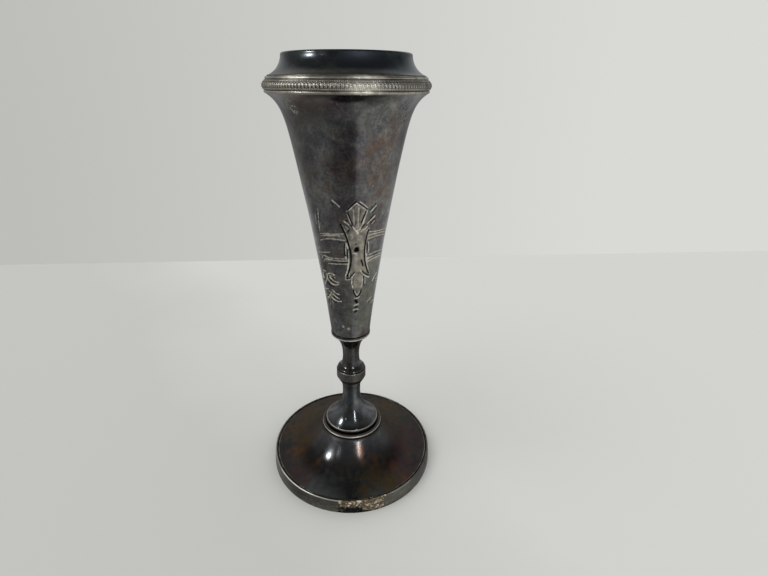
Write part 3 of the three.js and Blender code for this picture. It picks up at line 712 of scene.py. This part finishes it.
blackCuts = (
    # fan and wings
    (1.1, -3.6, 117.3, -2.4, 118.6, -1, 120), (1.3, 0, 119.4, 1.6, 118.2, 3.1, 117),
    (1.2, -3.8, 116.2, -2.9, 114.2, -2, 112), (1.4, 2.7, 116.2, 1.9, 114.4, 1.2, 112.3),
    (0.6, -1.2, 117.3, -0.9, 112), (0.6, -0.6, 117.6, -0.5, 112.4), (0.6, 0.6, 117.4, 0.5, 112.6),
    (1, -2.8, 111.8, -1.9, 110.4), (1, 2.5, 111.7, 1.2, 110.1), (1.2, -3.5, 109.2, -3, 110),
    (1.3, -4.2, 113.4, -3.8, 113.2),
    # cartouche sides and arcs
    (1.7, -5.9, 111.8, -4.9, 109.7, -3.7, 106.7, -2.9, 104), (1.5, -2.9, 104, -2.25, 101, -2.1, 98),
    (1.5, -2.1, 98, -2.4, 95.2, -3.3, 91.8), (1.6, 4, 109.4, 3.2, 106, 2.85, 103, 2.8, 100.6),
    (1.7, 2.8, 100.6, 3.1, 97.6, 3.7, 95), (1.7, 3.7, 95, 4.3, 93.4, 5, 92),
    (1.1, -4.3, 104.7, -4.45, 102.4, -4.2, 100.2), (1, -3.35, 102.5, -3.35, 99.4),
    (1.2, 3.6, 104.5, 3.8, 102.6, 3.75, 100.7),
    # straps
    (0.4, -13.6, 106.8, -10.5, 107.4, -5, 108), (0.5, -12.4, 106.1, -9, 106.8, -5, 106.7),
    (0.6, -13.4, 105.3, -9, 105.3, -4.6, 105.3), (0.6, 4.6, 108, 8, 107.9, 14, 107),
    (0.5, 4.6, 106.7, 9, 106.9, 14, 106), (0.6, 5, 105.6, 9, 105.8, 14, 104.8),
    (1, -9.4, 96.9, -6.5, 97.2, -3.2, 97.4), (0.5, -12, 98.1, -8, 98.2, -4, 98.4),
    (0.5, 5, 99, 9, 99.4, 13, 98.4), (0.5, 5, 97.7, 9, 98.2, 13, 97.3),
    # oval, tips, bud, vee and drops
    (3.6, -0.6, 102, 0.1, 102.1), (3.2, -0.4, 102.7, 0.1, 102.8), (0.9, -0.8, 104.3, -0.4, 104.6),
    (1.3, -2.2, 91.5, -1.5, 92.3, -0.7, 93.3), (1.2, 2.2, 93.4, 3.2, 92.2, 4.9, 91.1),
    (1.4, -3.3, 90.8, -3.1, 90.7), (1.2, -2.4, 91.1, -2.2, 91), (0.7, -1.2, 90.3, -1.3, 88),
    (0.9, 2.6, 91.3, 3, 89.2, 3.1, 87.4), (1.5, -1, 85.7, -0.5, 84.2, 0.3, 82.9),
    (1.5, 2, 85.4, 1.5, 83.9, 0.7, 82.9), (0.7, 0.1, 85.4, 0.5, 84.3), (1.5, 1.7, 97.9, 2.4, 95.6),
    (2.7, 0, 81.1, 0.4, 80.5), (1.7, -0.2, 78.2, 0.6, 78.4), (1.7, -0.2, 76, 0.5, 76.5),
    # between the leaves
    (0.8, -11.1, 90.1, -9.9, 88.9, -8.3, 88.3), (0.8, -9.9, 91.5, -8.6, 90.7),
    (0.8, -13.2, 90.9, -13.3, 89.1), (0.8, -8.3, 83.7, -7.4, 83, -6.5, 82.6), (0.8, -7.9, 85, -7, 84.2),
    (0.8, -8.5, 81.9, -7.5, 81.3, -6.1, 81.1), (0.8, -10, 80.6, -8.8, 79.9, -7.5, 79.7),
    (0.9, -11.1, 80.3, -11.9, 78.2), (0.9, -12.3, 83, -10.9, 82.9), (1.2, -13.2, 97.9, -12.4, 98.3),
    (0.7, -15.2, 94, -13.2, 96.1), (1, -11.9, 87.1, -10.3, 86.9), (0.5, -5.3, 85.9, -2.9, 85.1),
    (0.5, -4.8, 84.8, -2.8, 84.1), (1, -11.3, 90.3, -10.5, 89.5, -9.4, 88.8),
    (0.9, -9.3, 90.6, -8.6, 90, -8.3, 89.5), (1, -14.4, 87.8, -13.1, 88.5),
    (1.2, -11.5, 87.7, -10.6, 87.4, -10.1, 86.6), (1, -9.9, 86.7, -8.3, 86.7),
    (1.1, -12.6, 81, -11.5, 81.5), (0.9, -11.9, 78.8, -11.2, 78.2), (0.8, -8.4, 92.5, -7.7, 92.5),
    (0.8, -10.5, 77.3, -10.3, 75.8), (0.9, 8.5, 88.1, 9.4, 87.3), (0.8, 5.6, 79.3, 6.1, 78.7),
    (0.8, 7.6, 80, 8.3, 79.6), (0.8, -9.4, 119.4, -8.6, 118.8), (0.6, -15.3, 115.7, -15.4, 111.6),
    (0.7, -14.1, 115.5, -14, 111.4), (0.7, -13.5, 111, -14.2, 109.1),
    (0.9, 4.2, 116.6, 5.3, 117.8, 6.3, 118.8), (0.8, 5, 115.5, 6.7, 117),
    (0.9, 3.9, 112.7, 4.9, 113.9, 5.8, 114.8), (0.8, 4.6, 111.7, 6.2, 113.1), (0.7, 5.8, 111.5, 6.6, 112),
)


def trumpetRadius(z):
    # a cone, bowed by the square of the height, with an exponential flare at the top
    radius, bottom, top = size("trumpet_body")
    share = (z - bottom) / (top - bottom)
    cone = radius - trumpet["foot"] - trumpet["bow"] - trumpet["flare"]
    flare = trumpet["flare"] * np.exp((z - top) / trumpet["flareLength"])
    return trumpet["foot"] + cone * share + trumpet["bow"] * share ** 2 + flare


def cutField(across, up, cuts):
    # 1 in the middle of a cut, less for a hairline, falling to 0 over its half width; the strongest cut wins
    field = np.zeros(across.shape)
    here = across + 1j * up
    for width, *places in cuts:
        points = np.array(places[::2]) + 1j * np.array(places[1::2])
        along = np.append(0, np.cumsum(np.abs(np.diff(points))))
        t = np.linspace(0, along[-1], 6 * len(points) + 1)
        order = min(len(points) - 1, 3)
        line = np.polyval(np.polyfit(along, points.real, order), t)
        line = line + 1j * np.polyval(np.polyfit(along, points.imag, order), t)
        half = width * trumpet["cutWidth"] / 2
        box = (across > line.real.min() - 2 * half) & (across < line.real.max() + 2 * half)
        box &= (up > line.imag.min() - 2 * half) & (up < line.imag.max() + 2 * half)
        spot = here[box][:, None]
        step = line[1:] - line[:-1]
        share = np.clip(((spot - line[:-1]) * np.conj(step)).real / np.abs(step) ** 2, 0, 1)
        away = np.abs(spot - line[:-1] - share * step).min(1) / half
        field[box] = np.maximum(field[box], (1 - smooth(0.45, 1.5, away)) * smooth(0.1, 0.9, width))
    return field


def cartouche(across, up):
    # the pale ground: between the two sides, inside the fan and the bud, and fainter on the straps
    left = np.interp(up, [91.8, 95.2, 98, 101, 104, 106.7, 109.7, 111.8],
                     [-3.3, -2.4, -2.1, -2.25, -2.9, -3.7, -4.9, -5.9])
    right = np.interp(up, [92, 95, 97.6, 100.6, 103, 106, 109.4, 111],
                      [5, 3.7, 3.1, 2.8, 2.85, 3.2, 4, 4.4])
    middle = np.interp(up, [84, 93, 104, 120], [0.7, 0.6, -0.1, -0.4])
    inside = smooth(0, 0.4, across - left) * smooth(0, 0.4, right - across)
    inside = inside * window(up, 92, 93.6, 109.4, 111.4)
    fan = np.interp(up, [109, 111.6, 116.6, 119.4], [0.2, 1.5, 3.2, 0.1])
    bud = np.interp(up, [86.2, 87.4, 90, 93], [1.2, 1.9, 1.9, 1.2])
    for half, low, high in ((fan, 109, 119.4), (bud, 86.4, 93.4)):
        shape = smooth(0, 0.35, half - np.abs(across - middle))
        inside = np.maximum(inside, shape * window(up, low, low + 0.6, high - 0.6, high))
    for low, high in ((105.8, 108.3), (96.6, 98.8)):
        strap = window(up, low - 0.2, low + 0.2, high - 0.2, high + 0.2)
        beyond = np.maximum(left - across, across - right)
        inside = np.maximum(inside, 0.7 * strap * smooth(0, 0.3, beyond) * smooth(14, 11, np.abs(across)))
    return inside * np.clip(0.72 + 0.3 * lumps(across, up / 1.4, 2.2, 22), 0.15, 1.1)


def trumpetBody():
    radius, bottom, top = size("trumpet_body")
    low = np.linspace(bottom, trumpet["cutLow"], trumpet["lowRows"], endpoint=False)
    cut = np.linspace(trumpet["cutLow"], trumpet["cutHigh"], trumpet["cutRows"])
    high = top - (top - trumpet["cutHigh"]) * np.linspace(1, 0, 27)[1:] ** 2
    outer = np.concatenate([low, cut, high])
    inner = np.concatenate([high[::-1], np.linspace(trumpet["cutHigh"], bottom, 10)])
    centre = trumpet["centre"]
    turn = crowded(centre - trumpet["spanLeft"], centre + trumpet["spanRight"], trumpet["frontColumns"],
                   trumpet["backColumns"])
    z = np.concatenate([outer, inner])[:, None] * np.ones(len(turn))
    r = trumpetRadius(z)
    r[len(outer):] -= trumpet["sheet"]
    across = (turn - radians(centre)) * r
    onFront = np.zeros(z.shape, bool)
    onFront[len(low):len(low) + len(cut), :trumpet["frontColumns"]] = True
    marks = {"cut": cutField(across, z, brightCuts), "black": cutField(across, z, blackCuts),
             "panel": cartouche(across, z)}
    marks = {key: np.where(onFront, value, 0) for key, value in marks.items()}
    around = np.degrees(turn) + 0 * z
    ragged = 0.25 * lumps(np.radians(around) * 14, z, 4, 23)
    for tarnish in ("umber", "plum", "moss", "sage", "leaf", "bare", "speck", "pits"):
        # soft ragged spots round a few places
        marks[tarnish] = 0 * z
        for place, height, extent in trumpet[tarnish]:
            away = np.hypot(np.radians(around - place) * r, z - height) / extent
            marks[tarnish] = np.maximum(marks[tarnish], smooth(1.4, 0, away + ragged * (extent > 1)))
    # painted shade under the band
    shaded = smooth(*trumpet["duskUp"], z) * window(around, *trumpet["duskRound"])
    marks["bandShade"] = trumpet["duskShare"] * shaded
    # spun metal is never quite true: slow waves of a few hundredths, faded out at both seams
    seam = window(z, bottom, bottom + 6, top - 8, top)
    uneven = trumpet["unevenness"] * lumps(np.sin(turn) * 16 + 0 * z, z + np.cos(turn) * 16, 17, 21) * seam
    r = r + uneven - trumpet["cutDepth"] * np.maximum(marks["cut"], marks["black"])
    piece = ringMesh("trumpetBody", r, z, turn, marks)
    seat(piece, "trumpet_body", tarnishedPlate("silverPlateBrightCut", trumpet))


# Milled band: a die-rolled strip between two plain wires

band = {
    "inner": 24.9, "crown": 0.75, "footReach": 0.45, "topReach": 0.05,
    "arches": 150, "stepsPerArch": 10, "rows": 46, "archDepth": 0.14, "beadDepth": 0.14,
    # pattern, in mm up the strip: bead rows and their half heights; arches: top of their legs, half width,
    # foot and head; the drop's middle
    "beadRows": ((0.42, 0.26), (2.72, 0.24)), "beadHalf": 0.26, "legTop": 1.85, "archHalf": 0.36,
    "archSpan": (0.72, 0.82, 2.35, 2.45), "dropUp": 1.6,
    "dark": "#78756d", "middle": "#8c8980", "light": "#9e9a90", "cloudSize": 4.0,
    "roughLeast": 0.34, "roughMost": 0.48, "fretSize": 2.5,
    "wireSink": 0.1, "wireLean": 0.3,
    # painted highlights, bright spots where the lamps glint: degrees round and spread, share of the height
    # and spread
    "rubbed": ((-33, 9, 0.95, 0.2), (13, 10, 0.35, 0.4), (14, 9, 1.0, 0.12)),
    "rubs": (("wear", "#d2cec0", 0.25, 0.95, 0.9, 0.35), ("grime", "#211f1c", 0.5, 1.0, 1.0, 0.5)),
    "layers": (("rubbed", "#f3efe2", 0.6, 1.0, 0.5, 0.42),),
}


def milledBand():
    material = tarnishedPlate("silverPlateMilled", band)
    lowest, highest = size("band_wire_lower")[1], size("band_wire_upper")[2]

    def rubbed(r, z, turn, marks):
        # painted highlights where the lamps glint on the band: bell curves round it and up it
        share = (z - lowest) / (highest - lowest)
        marks["rubbed"] = 0 * share
        for around, width, height, depth in band["rubbed"]:
            spot = hill(np.degrees(turn), around, width) * hill(share, height, depth)
            marks["rubbed"] = np.maximum(marks["rubbed"], spot)
        return r

    wires = (("bandWireLower", "band_wire_lower", 1), ("bandWireUpper", "band_wire_upper", -1))
    for name, node, lean in wires:
        radius, bottom, top = size(node)
        roll = roundSide(radius - band["wireSink"], bottom, top - bottom)
        # leans so that it carries on the strip's crown
        roll = roll + lean * band["wireLean"] * (roll.imag - (bottom + top) / 2)
        outline = join(band["inner"] + 1j * bottom, roll, band["inner"] + 1j * top)
        seat(turned(name, outline, roundAbout(256), 0.06, 60, rubbed), node, material)
    edge = size("trumpet_body")[0]
    radius, bottom, top = size("milled_strip")
    foot, head = edge + band["footReach"] + 1j * bottom, edge + band["topReach"] + 1j * top
    t = np.linspace(0, 1, band["rows"])
    face = (1 - t) ** 2 * foot + 2 * (1 - t) * t * ((foot + head) / 2 + 2 * band["crown"]) + t * t * head
    columns = band["arches"] * band["stepsPerArch"]
    turn = roundAbout(columns)
    share = t[:, None] * np.ones(columns)  # height on the strip, 0 to 1
    pitch = 2 * np.pi * edge / band["arches"]
    along = (np.arange(columns) / band["stepsPerArch"])[None, :] * np.ones((band["rows"], 1))
    inArch = (along % 1 - 0.5) * pitch  # mm from the middle of an arch
    inBead = (2 * along % 1 - 0.5) * pitch / 2
    up = share * (top - bottom)  # mm above the strip's foot
    beads = 0 * up
    for height, half in band["beadRows"]:
        ball = 1 - (inBead / band["beadHalf"]) ** 2 - ((up - height) / half) ** 2
        beads = np.maximum(beads, np.sqrt(np.clip(ball, 0, 1)))
    # each arch: a round-topped loop standing on two legs, with a drop in its middle and a dart between two
    legs = np.where(up > band["legTop"], np.hypot(inArch, up - band["legTop"]), np.abs(inArch))
    arch = 1 - smooth(0.05, 0.16, np.abs(legs - band["archHalf"]))
    drop = 1 - smooth(0.06, 0.17, np.hypot(inArch, (up - band["dropUp"]) / 2))
    dart = 1 - smooth(0.04, 0.12, pitch / 2 - np.abs(inArch))
    arch = np.maximum(arch, np.maximum(0.8 * drop, 0.7 * dart)) * window(up, *band["archSpan"])
    relief = np.maximum(arch * band["archDepth"], beads * band["beadDepth"])
    outer = face.real[:, None] - 0.1 + relief
    z = np.repeat(face.imag[:, None], columns, 1)
    back = np.full((2, columns), band["inner"])
    raised = relief / max(band["archDepth"], band["beadDepth"])
    none = np.zeros((2, columns))
    marks = {"wear": np.vstack([raised, none]), "grime": np.vstack([0.75 * smooth(0.4, 0.0, raised), none])}
    z = np.vstack([z, np.array([[top], [bottom]]) * np.ones(columns)])
    piece = ringMesh("milledStrip", rubbed(np.vstack([outer, back]), z, turn, marks), z, turn, marks)
    seat(piece, "milled_strip", material)


# Mouth collar: hollow-sided, with a rolled lip; its spigot drops through the band

collar = {
    "footZ": 156.9, "footHeight": 0.3, "spigot": 24.6, "sheet": 0.9, "narrowing": 4.6, "lip": 1.2,
    "leaving": (0.52, 0.1), "arriving": (0.02, 0.45), "dullFrom": -8, "dullTo": 38,  # degrees
    # mm over its foot, and degrees round, between which the dull painted shade and the grey painted
    # reflection fade
    "dullReach": (1.2, 2.4), "baseReach": (2.4, 0.8), "baseRound": (48, 14),
    "shift": 4.2, "cloudSize": 6.0, "dark": "#3f474d", "middle": "#485054", "light": "#555857",
    "stainShare": 0.2, "roughLeast": 0.18, "roughMost": 0.27, "bump": 0.05,
    "rubs": (("wear", "#77756e", 0.1, 0.5, 1.0, 0.3), ("grime", "#1c1b19", 0.85, 1.0, 1.0, 0.5)),
    # dull is painted shade, base is a painted reflection
    "layers": (("dull", "#383c42", 1.0, 1.0, 1.0, 0.48), ("base", "#6e6c64", 0.6, 1.0, 0.9, 0.42)),
}


def mouthCollar():
    radius, bottom, top = size("mouth_collar")
    footZ, lip = collar["footZ"], collar["lip"]
    lipRadius = radius - collar["narrowing"]
    innerFoot = collar["spigot"] - collar["sheet"]
    lipZ = top - lip / 2
    outside = curve(radius + 1j * (footZ + collar["footHeight"]), lipRadius + 1j * lipZ, collar["leaving"],
                    collar["arriving"])
    inside = curve(innerFoot + 1j * footZ, lipRadius - lip + 1j * lipZ, collar["leaving"], collar["arriving"])
    outline = join(innerFoot + 1j * bottom, collar["spigot"] + 1j * bottom, collar["spigot"] + 1j * footZ,
                   radius + 1j * footZ, outside, roundTop(lipRadius, top, lip)[1:-1], inside[::-1])

    def dulled(r, z, turn, marks):
        # painted shade: the front right is darker and rougher, so that it no longer mirrors a lamp; the foot
        # of it is a paler grey, a painted reflection
        around = np.degrees(turn)[None, :] + 4 * lumps(turn * radius, z, 5, 41)
        dull = smooth(-8, 8, around - collar["dullFrom"]) * smooth(-12, 12, collar["dullTo"] - around)
        marks["dull"] = dull * smooth(*collar["dullReach"], z - footZ)
        # painted reflection: the foot of the collar is paler grey
        marks["base"] = 0.9 * smooth(*collar["baseReach"], z - footZ) * smooth(*collar["baseRound"], around)
        return r

    piece = turned("mouthCollar", outline, roundAbout(256), count=150, relief=dulled)
    seat(piece, "mouth_collar", tarnishedPlate("silverPlateBlackenedCollar", collar))


# Tie rod, washer and nut under the foot

fastening = {
    "threadPitch": 0.5, "threadDepth": 0.16, "threadLength": 8.0, "chamfer": 0.4, "flats": 7.0,
    "nutChamfer": 0.45, "nutMouth": 2.0, "steel": "#8a8a8c", "rust": "#6b4a33", "freckleSize": 1.1,
}


def plainSteel():
    # Plain turned steel, long in a damp foot: grey, finely ringed by the tool, freckled with rust.
    material, tree = newMaterial("plainSteelFreckled")
    spot = addNode(tree, "ShaderNodeTexCoord").outputs["Object"]
    freckle = addNode(tree, "ShaderNodeTexNoise", {
        "Vector": spot, "Scale": 1 / (fastening["freckleSize"] * mm), "Detail": 4.0})
    rusted = addNode(tree, "ShaderNodeMapRange", {
        "Value": freckle.outputs[0], "From Min": 0.52, "From Max": 0.66})
    colour = addNode(tree, "ShaderNodeMix", {
        0: rusted.outputs[0], 6: hexToLinear(fastening["steel"]), 7: hexToLinear(fastening["rust"])},
        data_type="RGBA")
    rough = addNode(tree, "ShaderNodeMapRange", {"Value": freckle.outputs[0], "To Min": 0.3, "To Max": 0.7})
    bright = addNode(tree, "ShaderNodeMapRange", {"Value": rusted.outputs[0], "To Min": 1.0, "To Max": 0.2})
    bump = addNode(tree, "ShaderNodeBump", {
        "Height": freckle.outputs[0], "Strength": 0.25, "Distance": 0.03 * mm})
    metal = addNode(tree, "ShaderNodeBsdfPrincipled", {
        "Base Color": colour.outputs[2], "Roughness": rough.outputs[0], "Metallic": bright.outputs[0],
        "Normal": bump.outputs[0]})
    addNode(tree, "ShaderNodeOutputMaterial", {"Surface": metal.outputs[0]})
    return material


def rodAndNut():
    steel = plainSteel()
    radius, bottom, top = size("tie_rod")
    turn = roundAbout(48)
    threadTop = bottom + fastening["threadLength"]
    z = np.append(np.linspace(bottom, threadTop, 130), np.linspace(threadTop, top, 12)[1:])
    z = z[:, None] * np.ones(len(turn))
    # thread: a triangle wave that climbs one pitch each turn, and runs out into the plain rod
    wave = np.abs(((z / fastening["threadPitch"] - turn / (2 * np.pi)) % 1) * 2 - 1)
    run = smooth(threadTop, threadTop - 1, z)
    r = radius - fastening["threadDepth"] * wave * run
    ends = np.minimum(z - bottom, top - z)
    r = np.minimum(r, radius - fastening["chamfer"] + ends)
    rod = cappedMesh("tieRod", r, z, turn, {})
    seat(rod, "tie_rod", steel)

    radius, bottom, top = size("rod_washer")
    bore = plate["bore"]
    outline = join(bore + 1j * bottom, radius + 1j * bottom, radius + 1j * top, bore + 1j * top)
    seat(turned("rodWasher", outline, roundAbout(96), 0.07, 60), "rod_washer", steel)

    radius, bottom, top = size("rod_nut")
    turn = roundAbout(144)
    flat = fastening["flats"] / 2
    hexagon = flat / np.cos((turn + np.pi / 6) % (np.pi / 3) - np.pi / 6)
    slope = fastening["nutChamfer"]
    rise = np.concatenate([[0], np.linspace(0, slope, 6), np.linspace(slope, (top - bottom) / 2, 4)[1:]])
    z = np.append(bottom + rise, top - rise[::-1])
    # chamfers of 30 degrees at both ends
    r = np.minimum(hexagon, flat * 0.98 + np.minimum(z - bottom, top - z)[:, None] * 1.7)
    r[[0, -1]] = fastening["nutMouth"]
    hole = np.full((2, len(turn)), bore)
    z = np.append(z, [top, bottom])[:, None] * np.ones(len(turn))
    nut = ringMesh("rodNut", np.vstack([r, hole]), z, turn, {})
    nut.data.set_sharp_from_angle(angle=radians(24))
    seat(nut, "rod_nut", steel)


# Stage: pale floor, soft light, and a light tent that only reflections see

stage = {
    "floorBack": 0.2505, "floorSkew": 0.07, "floorFront": -1.6, "floorSide": 1.4,
    "floorDim": "#c0c1bc", "floorPale": "#cecfcb",  # front left, back right
    "wallDim": "#bdbeb9", "wallPale": "#d9dad6", "daylight": 0.86, "keyPower": 0.75, "keySoftness": 40,
    "keyFrom": (-0.6, -0.32, 1.0), "lampPower": 0.3, "lampAim": 0.06,
    # place, width and height in metres, and share of the power
    "lamps": (("lampLeft", (-0.285, -0.152, 0.273), 0.021, 0.021, 1.0),
              ("lampBeside", (-0.209, -0.273, 0.28), 0.03, 0.03, 0.03),
              ("lampRight", (0.139, -0.325, 0.235), 0.022, 0.19, 0.8)),
}
tent = {
    "rings": (36, 62, 100, 150, 165, 175, 185, 195, 205, 300, 380, 460, 540, 700),  # mm out on the floor
    # brightness: a first level, then changes, each an amount and where it starts and ends, in degrees
    # round, in mm out for behind and in degrees up for sky; reaches are mm out, and lifts degrees up
    "near": (0.27, (0.05, -40, -10), (0.26, 2, 24)), "beside": (0, (0.66, 40, 80), (-0.6, -40, -60)),
    "besideReach": (110, 70), "stripe": (0.15, (0.15, -22, -38), (0.46, 19, 20.2)), "stripeReach": (165, 205),
    "behind": (0.12, (0.38, 80, 160), (-0.24, 320, 540)),
    "horizon": (0.16, (0.26, -20, -60), (0.32, -2, 24)), "horizonBehind": 0.26,
    "horizonLift": (8, 34), "overhead": 0.16, "sky": (0.1, (0.22, 8, 28)), "skyLift": (72, 58),
    "rear": (105, 140),
}


def paleFloor():
    x, back, front = stage["floorSide"], stage["floorBack"], stage["floorFront"]
    skew = x * stage["floorSkew"]  # the back edge runs a little away to the right
    mesh = bpy.data.meshes.new("paleFloor")
    mesh.from_pydata([(-x, front, 0), (x, front, 0), (x, back + skew, 0), (-x, back - skew, 0)], [],
                     [(0, 1, 2, 3)])
    floor = bpy.data.objects.new("paleFloor", mesh)
    scene.collection.objects.link(floor)
    material, tree = newMaterial("paintedBoard")
    spot = addNode(tree, "ShaderNodeTexCoord").outputs["Object"]
    # painted board, a little cloudy; paler towards the back right, which is painted light standing in for
    # light that falls unevenly
    across = addNode(tree, "ShaderNodeVectorMath", {0: spot, 1: (1, 0.8, 0)}, operation="DOT_PRODUCT")
    cloud = addNode(tree, "ShaderNodeTexNoise", {"Vector": spot, "Scale": 9.0, "Detail": 3.0})
    place = addNode(tree, "ShaderNodeMath", {
        0: cloud.outputs[0], 1: 0.12, 2: across.outputs["Value"]}, operation="MULTIPLY_ADD")
    share = addNode(tree, "ShaderNodeMapRange", {
        "Value": place.outputs[0], "From Min": 0.0, "From Max": 0.11})
    paint = addNode(tree, "ShaderNodeMix", {
        0: share.outputs[0], 6: hexToLinear(stage["floorDim"]), 7: hexToLinear(stage["floorPale"])},
        data_type="RGBA")
    board = addNode(tree, "ShaderNodeBsdfPrincipled", {
        "Base Color": paint.outputs[2], "Roughness": 0.6, "Specular IOR Level": 0.0})
    addNode(tree, "ShaderNodeOutputMaterial", {"Surface": board.outputs[0]})
    mesh.materials.append(material)


def lightTent():
    # a glowing floor and dome that only the metal mirrors. On the floor: near the vase it grows from left
    # to right; from 200 mm out a dark stripe lies in front, bright to its right, middling to its left.
    # Behind it is pale. Above: dark in front and overhead, pale behind
    rise = np.radians(np.linspace(0, 88, 45))
    floor = np.array(tent["rings"])
    reach = join(floor + 0.4j, floor[-1] * np.cos(rise) + 1j * (1 + floor[-1] * np.sin(rise)))
    turn = roundAbout(720)
    spread = np.ones(len(turn))
    azimuth = np.degrees(turn)[None, :] * np.ones((len(reach), 1))
    lift = np.append(np.full(len(floor), -1), np.degrees(rise))[:, None] * spread
    out = reach.real[:, None]
    rear = smooth(*tent["rear"], np.abs(azimuth))
    beside = stepped(azimuth, *tent["beside"]) * smooth(*tent["besideReach"], out)
    near = stepped(azimuth, *tent["near"]) * (1 - beside)
    below = near + (stepped(azimuth, *tent["stripe"]) - near) * smooth(*tent["stripeReach"], out)
    below = below + (stepped(out, *tent["behind"]) - below) * rear
    horizon = stepped(azimuth, *tent["horizon"])
    horizon = horizon + (tent["horizonBehind"] - horizon) * rear
    above = tent["overhead"] + stepped(lift, *tent["sky"]) * rear * smooth(*tent["skyLift"], lift)
    low = horizon + (above - horizon) * smooth(*tent["horizonLift"], lift)
    glow = np.where(lift < 0, below, np.maximum(above, low))
    points = spun(np.outer(reach.real, spread), np.outer(reach.imag, spread), turn)
    dome = meshFrom("lightTent", points, gridFaces(*glow.shape, False)[:, ::-1].tolist(), {"glow": glow})
    for ray in ("camera", "diffuse", "transmission", "volume_scatter", "shadow"):
        setattr(dome, "visible_" + ray, False)
    material, tree = newMaterial("tentGlow")
    glowing = addNode(tree, "ShaderNodeAttribute", attribute_name="glow").outputs["Fac"]
    shine = addNode(tree, "ShaderNodeEmission", {"Color": (1, 1, 1, 1), "Strength": glowing})
    addNode(tree, "ShaderNodeOutputMaterial", {"Surface": shine.outputs[0]})
    dome.data.materials.append(material)


def studio():
    world = bpy.data.worlds.new("studio")
    scene.world = world
    world.use_nodes = True
    tree = world.node_tree
    tree.nodes.clear()
    seen = addNode(tree, "ShaderNodeLightPath").outputs["Is Camera Ray"]
    shade = addNode(tree, "ShaderNodeBackground", {"Color": (1, 1, 1, 1), "Strength": stage["daylight"]})
    # wall: paler to the right, painted light on the backdrop; the direction's x runs from left to right
    look = addNode(tree, "ShaderNodeTexCoord").outputs["Generated"]
    sideways = addNode(tree, "ShaderNodeSeparateXYZ", {0: look}).outputs[0]
    paler = addNode(tree, "ShaderNodeMapRange", {"Value": sideways, "From Min": -0.6, "From Max": 0.45})
    wall = addNode(tree, "ShaderNodeMix", {
        0: paler.outputs[0], 6: hexToLinear(stage["wallDim"]), 7: hexToLinear(stage["wallPale"])},
        data_type="RGBA")
    pale = addNode(tree, "ShaderNodeBackground", {"Color": wall.outputs[2]})
    mixed = addNode(tree, "ShaderNodeMixShader", {0: seen, 1: shade.outputs[0], 2: pale.outputs[0]})
    addNode(tree, "ShaderNodeOutputWorld", {"Surface": mixed.outputs[0]})
    key = bpy.data.lights.new("keyLight", "SUN")
    key.energy = stage["keyPower"]
    key.angle = radians(stage["keySoftness"])
    keyLight = bpy.data.objects.new("keyLight", key)
    keyLight.rotation_euler = Vector(stage["keyFrom"]).to_track_quat("Z", "Y").to_euler()
    keyLight.visible_glossy = False
    scene.collection.objects.link(keyLight)
    for name, place, width, height, share in stage["lamps"]:
        # soft oval lamps aimed at the vase's stem, seen only as glints
        light = bpy.data.lights.new(name, "AREA")
        light.shape = "ELLIPSE"
        light.size = width
        light.size_y = height
        light.energy = share * stage["lampPower"]
        lamp = bpy.data.objects.new(name, light)
        lamp.location = place
        aim = Vector(place) - Vector((0, 0, stage["lampAim"]))
        lamp.rotation_euler = aim.to_track_quat("Z", "Y").to_euler()
        lamp.visible_camera = False
        lamp.visible_diffuse = False
        scene.collection.objects.link(lamp)


photo = {  # camera fitted to the vase's outline and rings: mm, metres and degrees
    "lens": 21.197, "sensor": 36, "place": (0.00795, -0.16116, 0.15514), "tippedDown": 24.403, "askew": 0.37,
    "shift": 0.0177,  # the picture was cropped a little off its middle
}


def photoCamera():
    lens = bpy.data.cameras.new("photoCamera")
    lens.lens = photo["lens"]
    lens.sensor_width = photo["sensor"]
    lens.clip_start = 0.01
    lens.shift_x = photo["shift"]
    camera = bpy.data.objects.new("photoCamera", lens)
    camera.location = photo["place"]
    camera.rotation_mode = "ZYX"
    camera.rotation_euler = (radians(90 - photo["tippedDown"]), 0, radians(photo["askew"]))
    scene.collection.objects.link(camera)
    scene.camera = camera


photoCamera()
paleFloor()
lightTent()
studio()
print("stage set")
footSkirt()
footSpread()
bellRings()
print("foot and rings made")
stemBell()
knopGirdle()
stemNeck()
seatPlate()
print("stem made")
trumpetBody()
print("trumpet engraved")
milledBand()
mouthCollar()
print("band and mouth made")
rodAndNut()
print("fastening made")
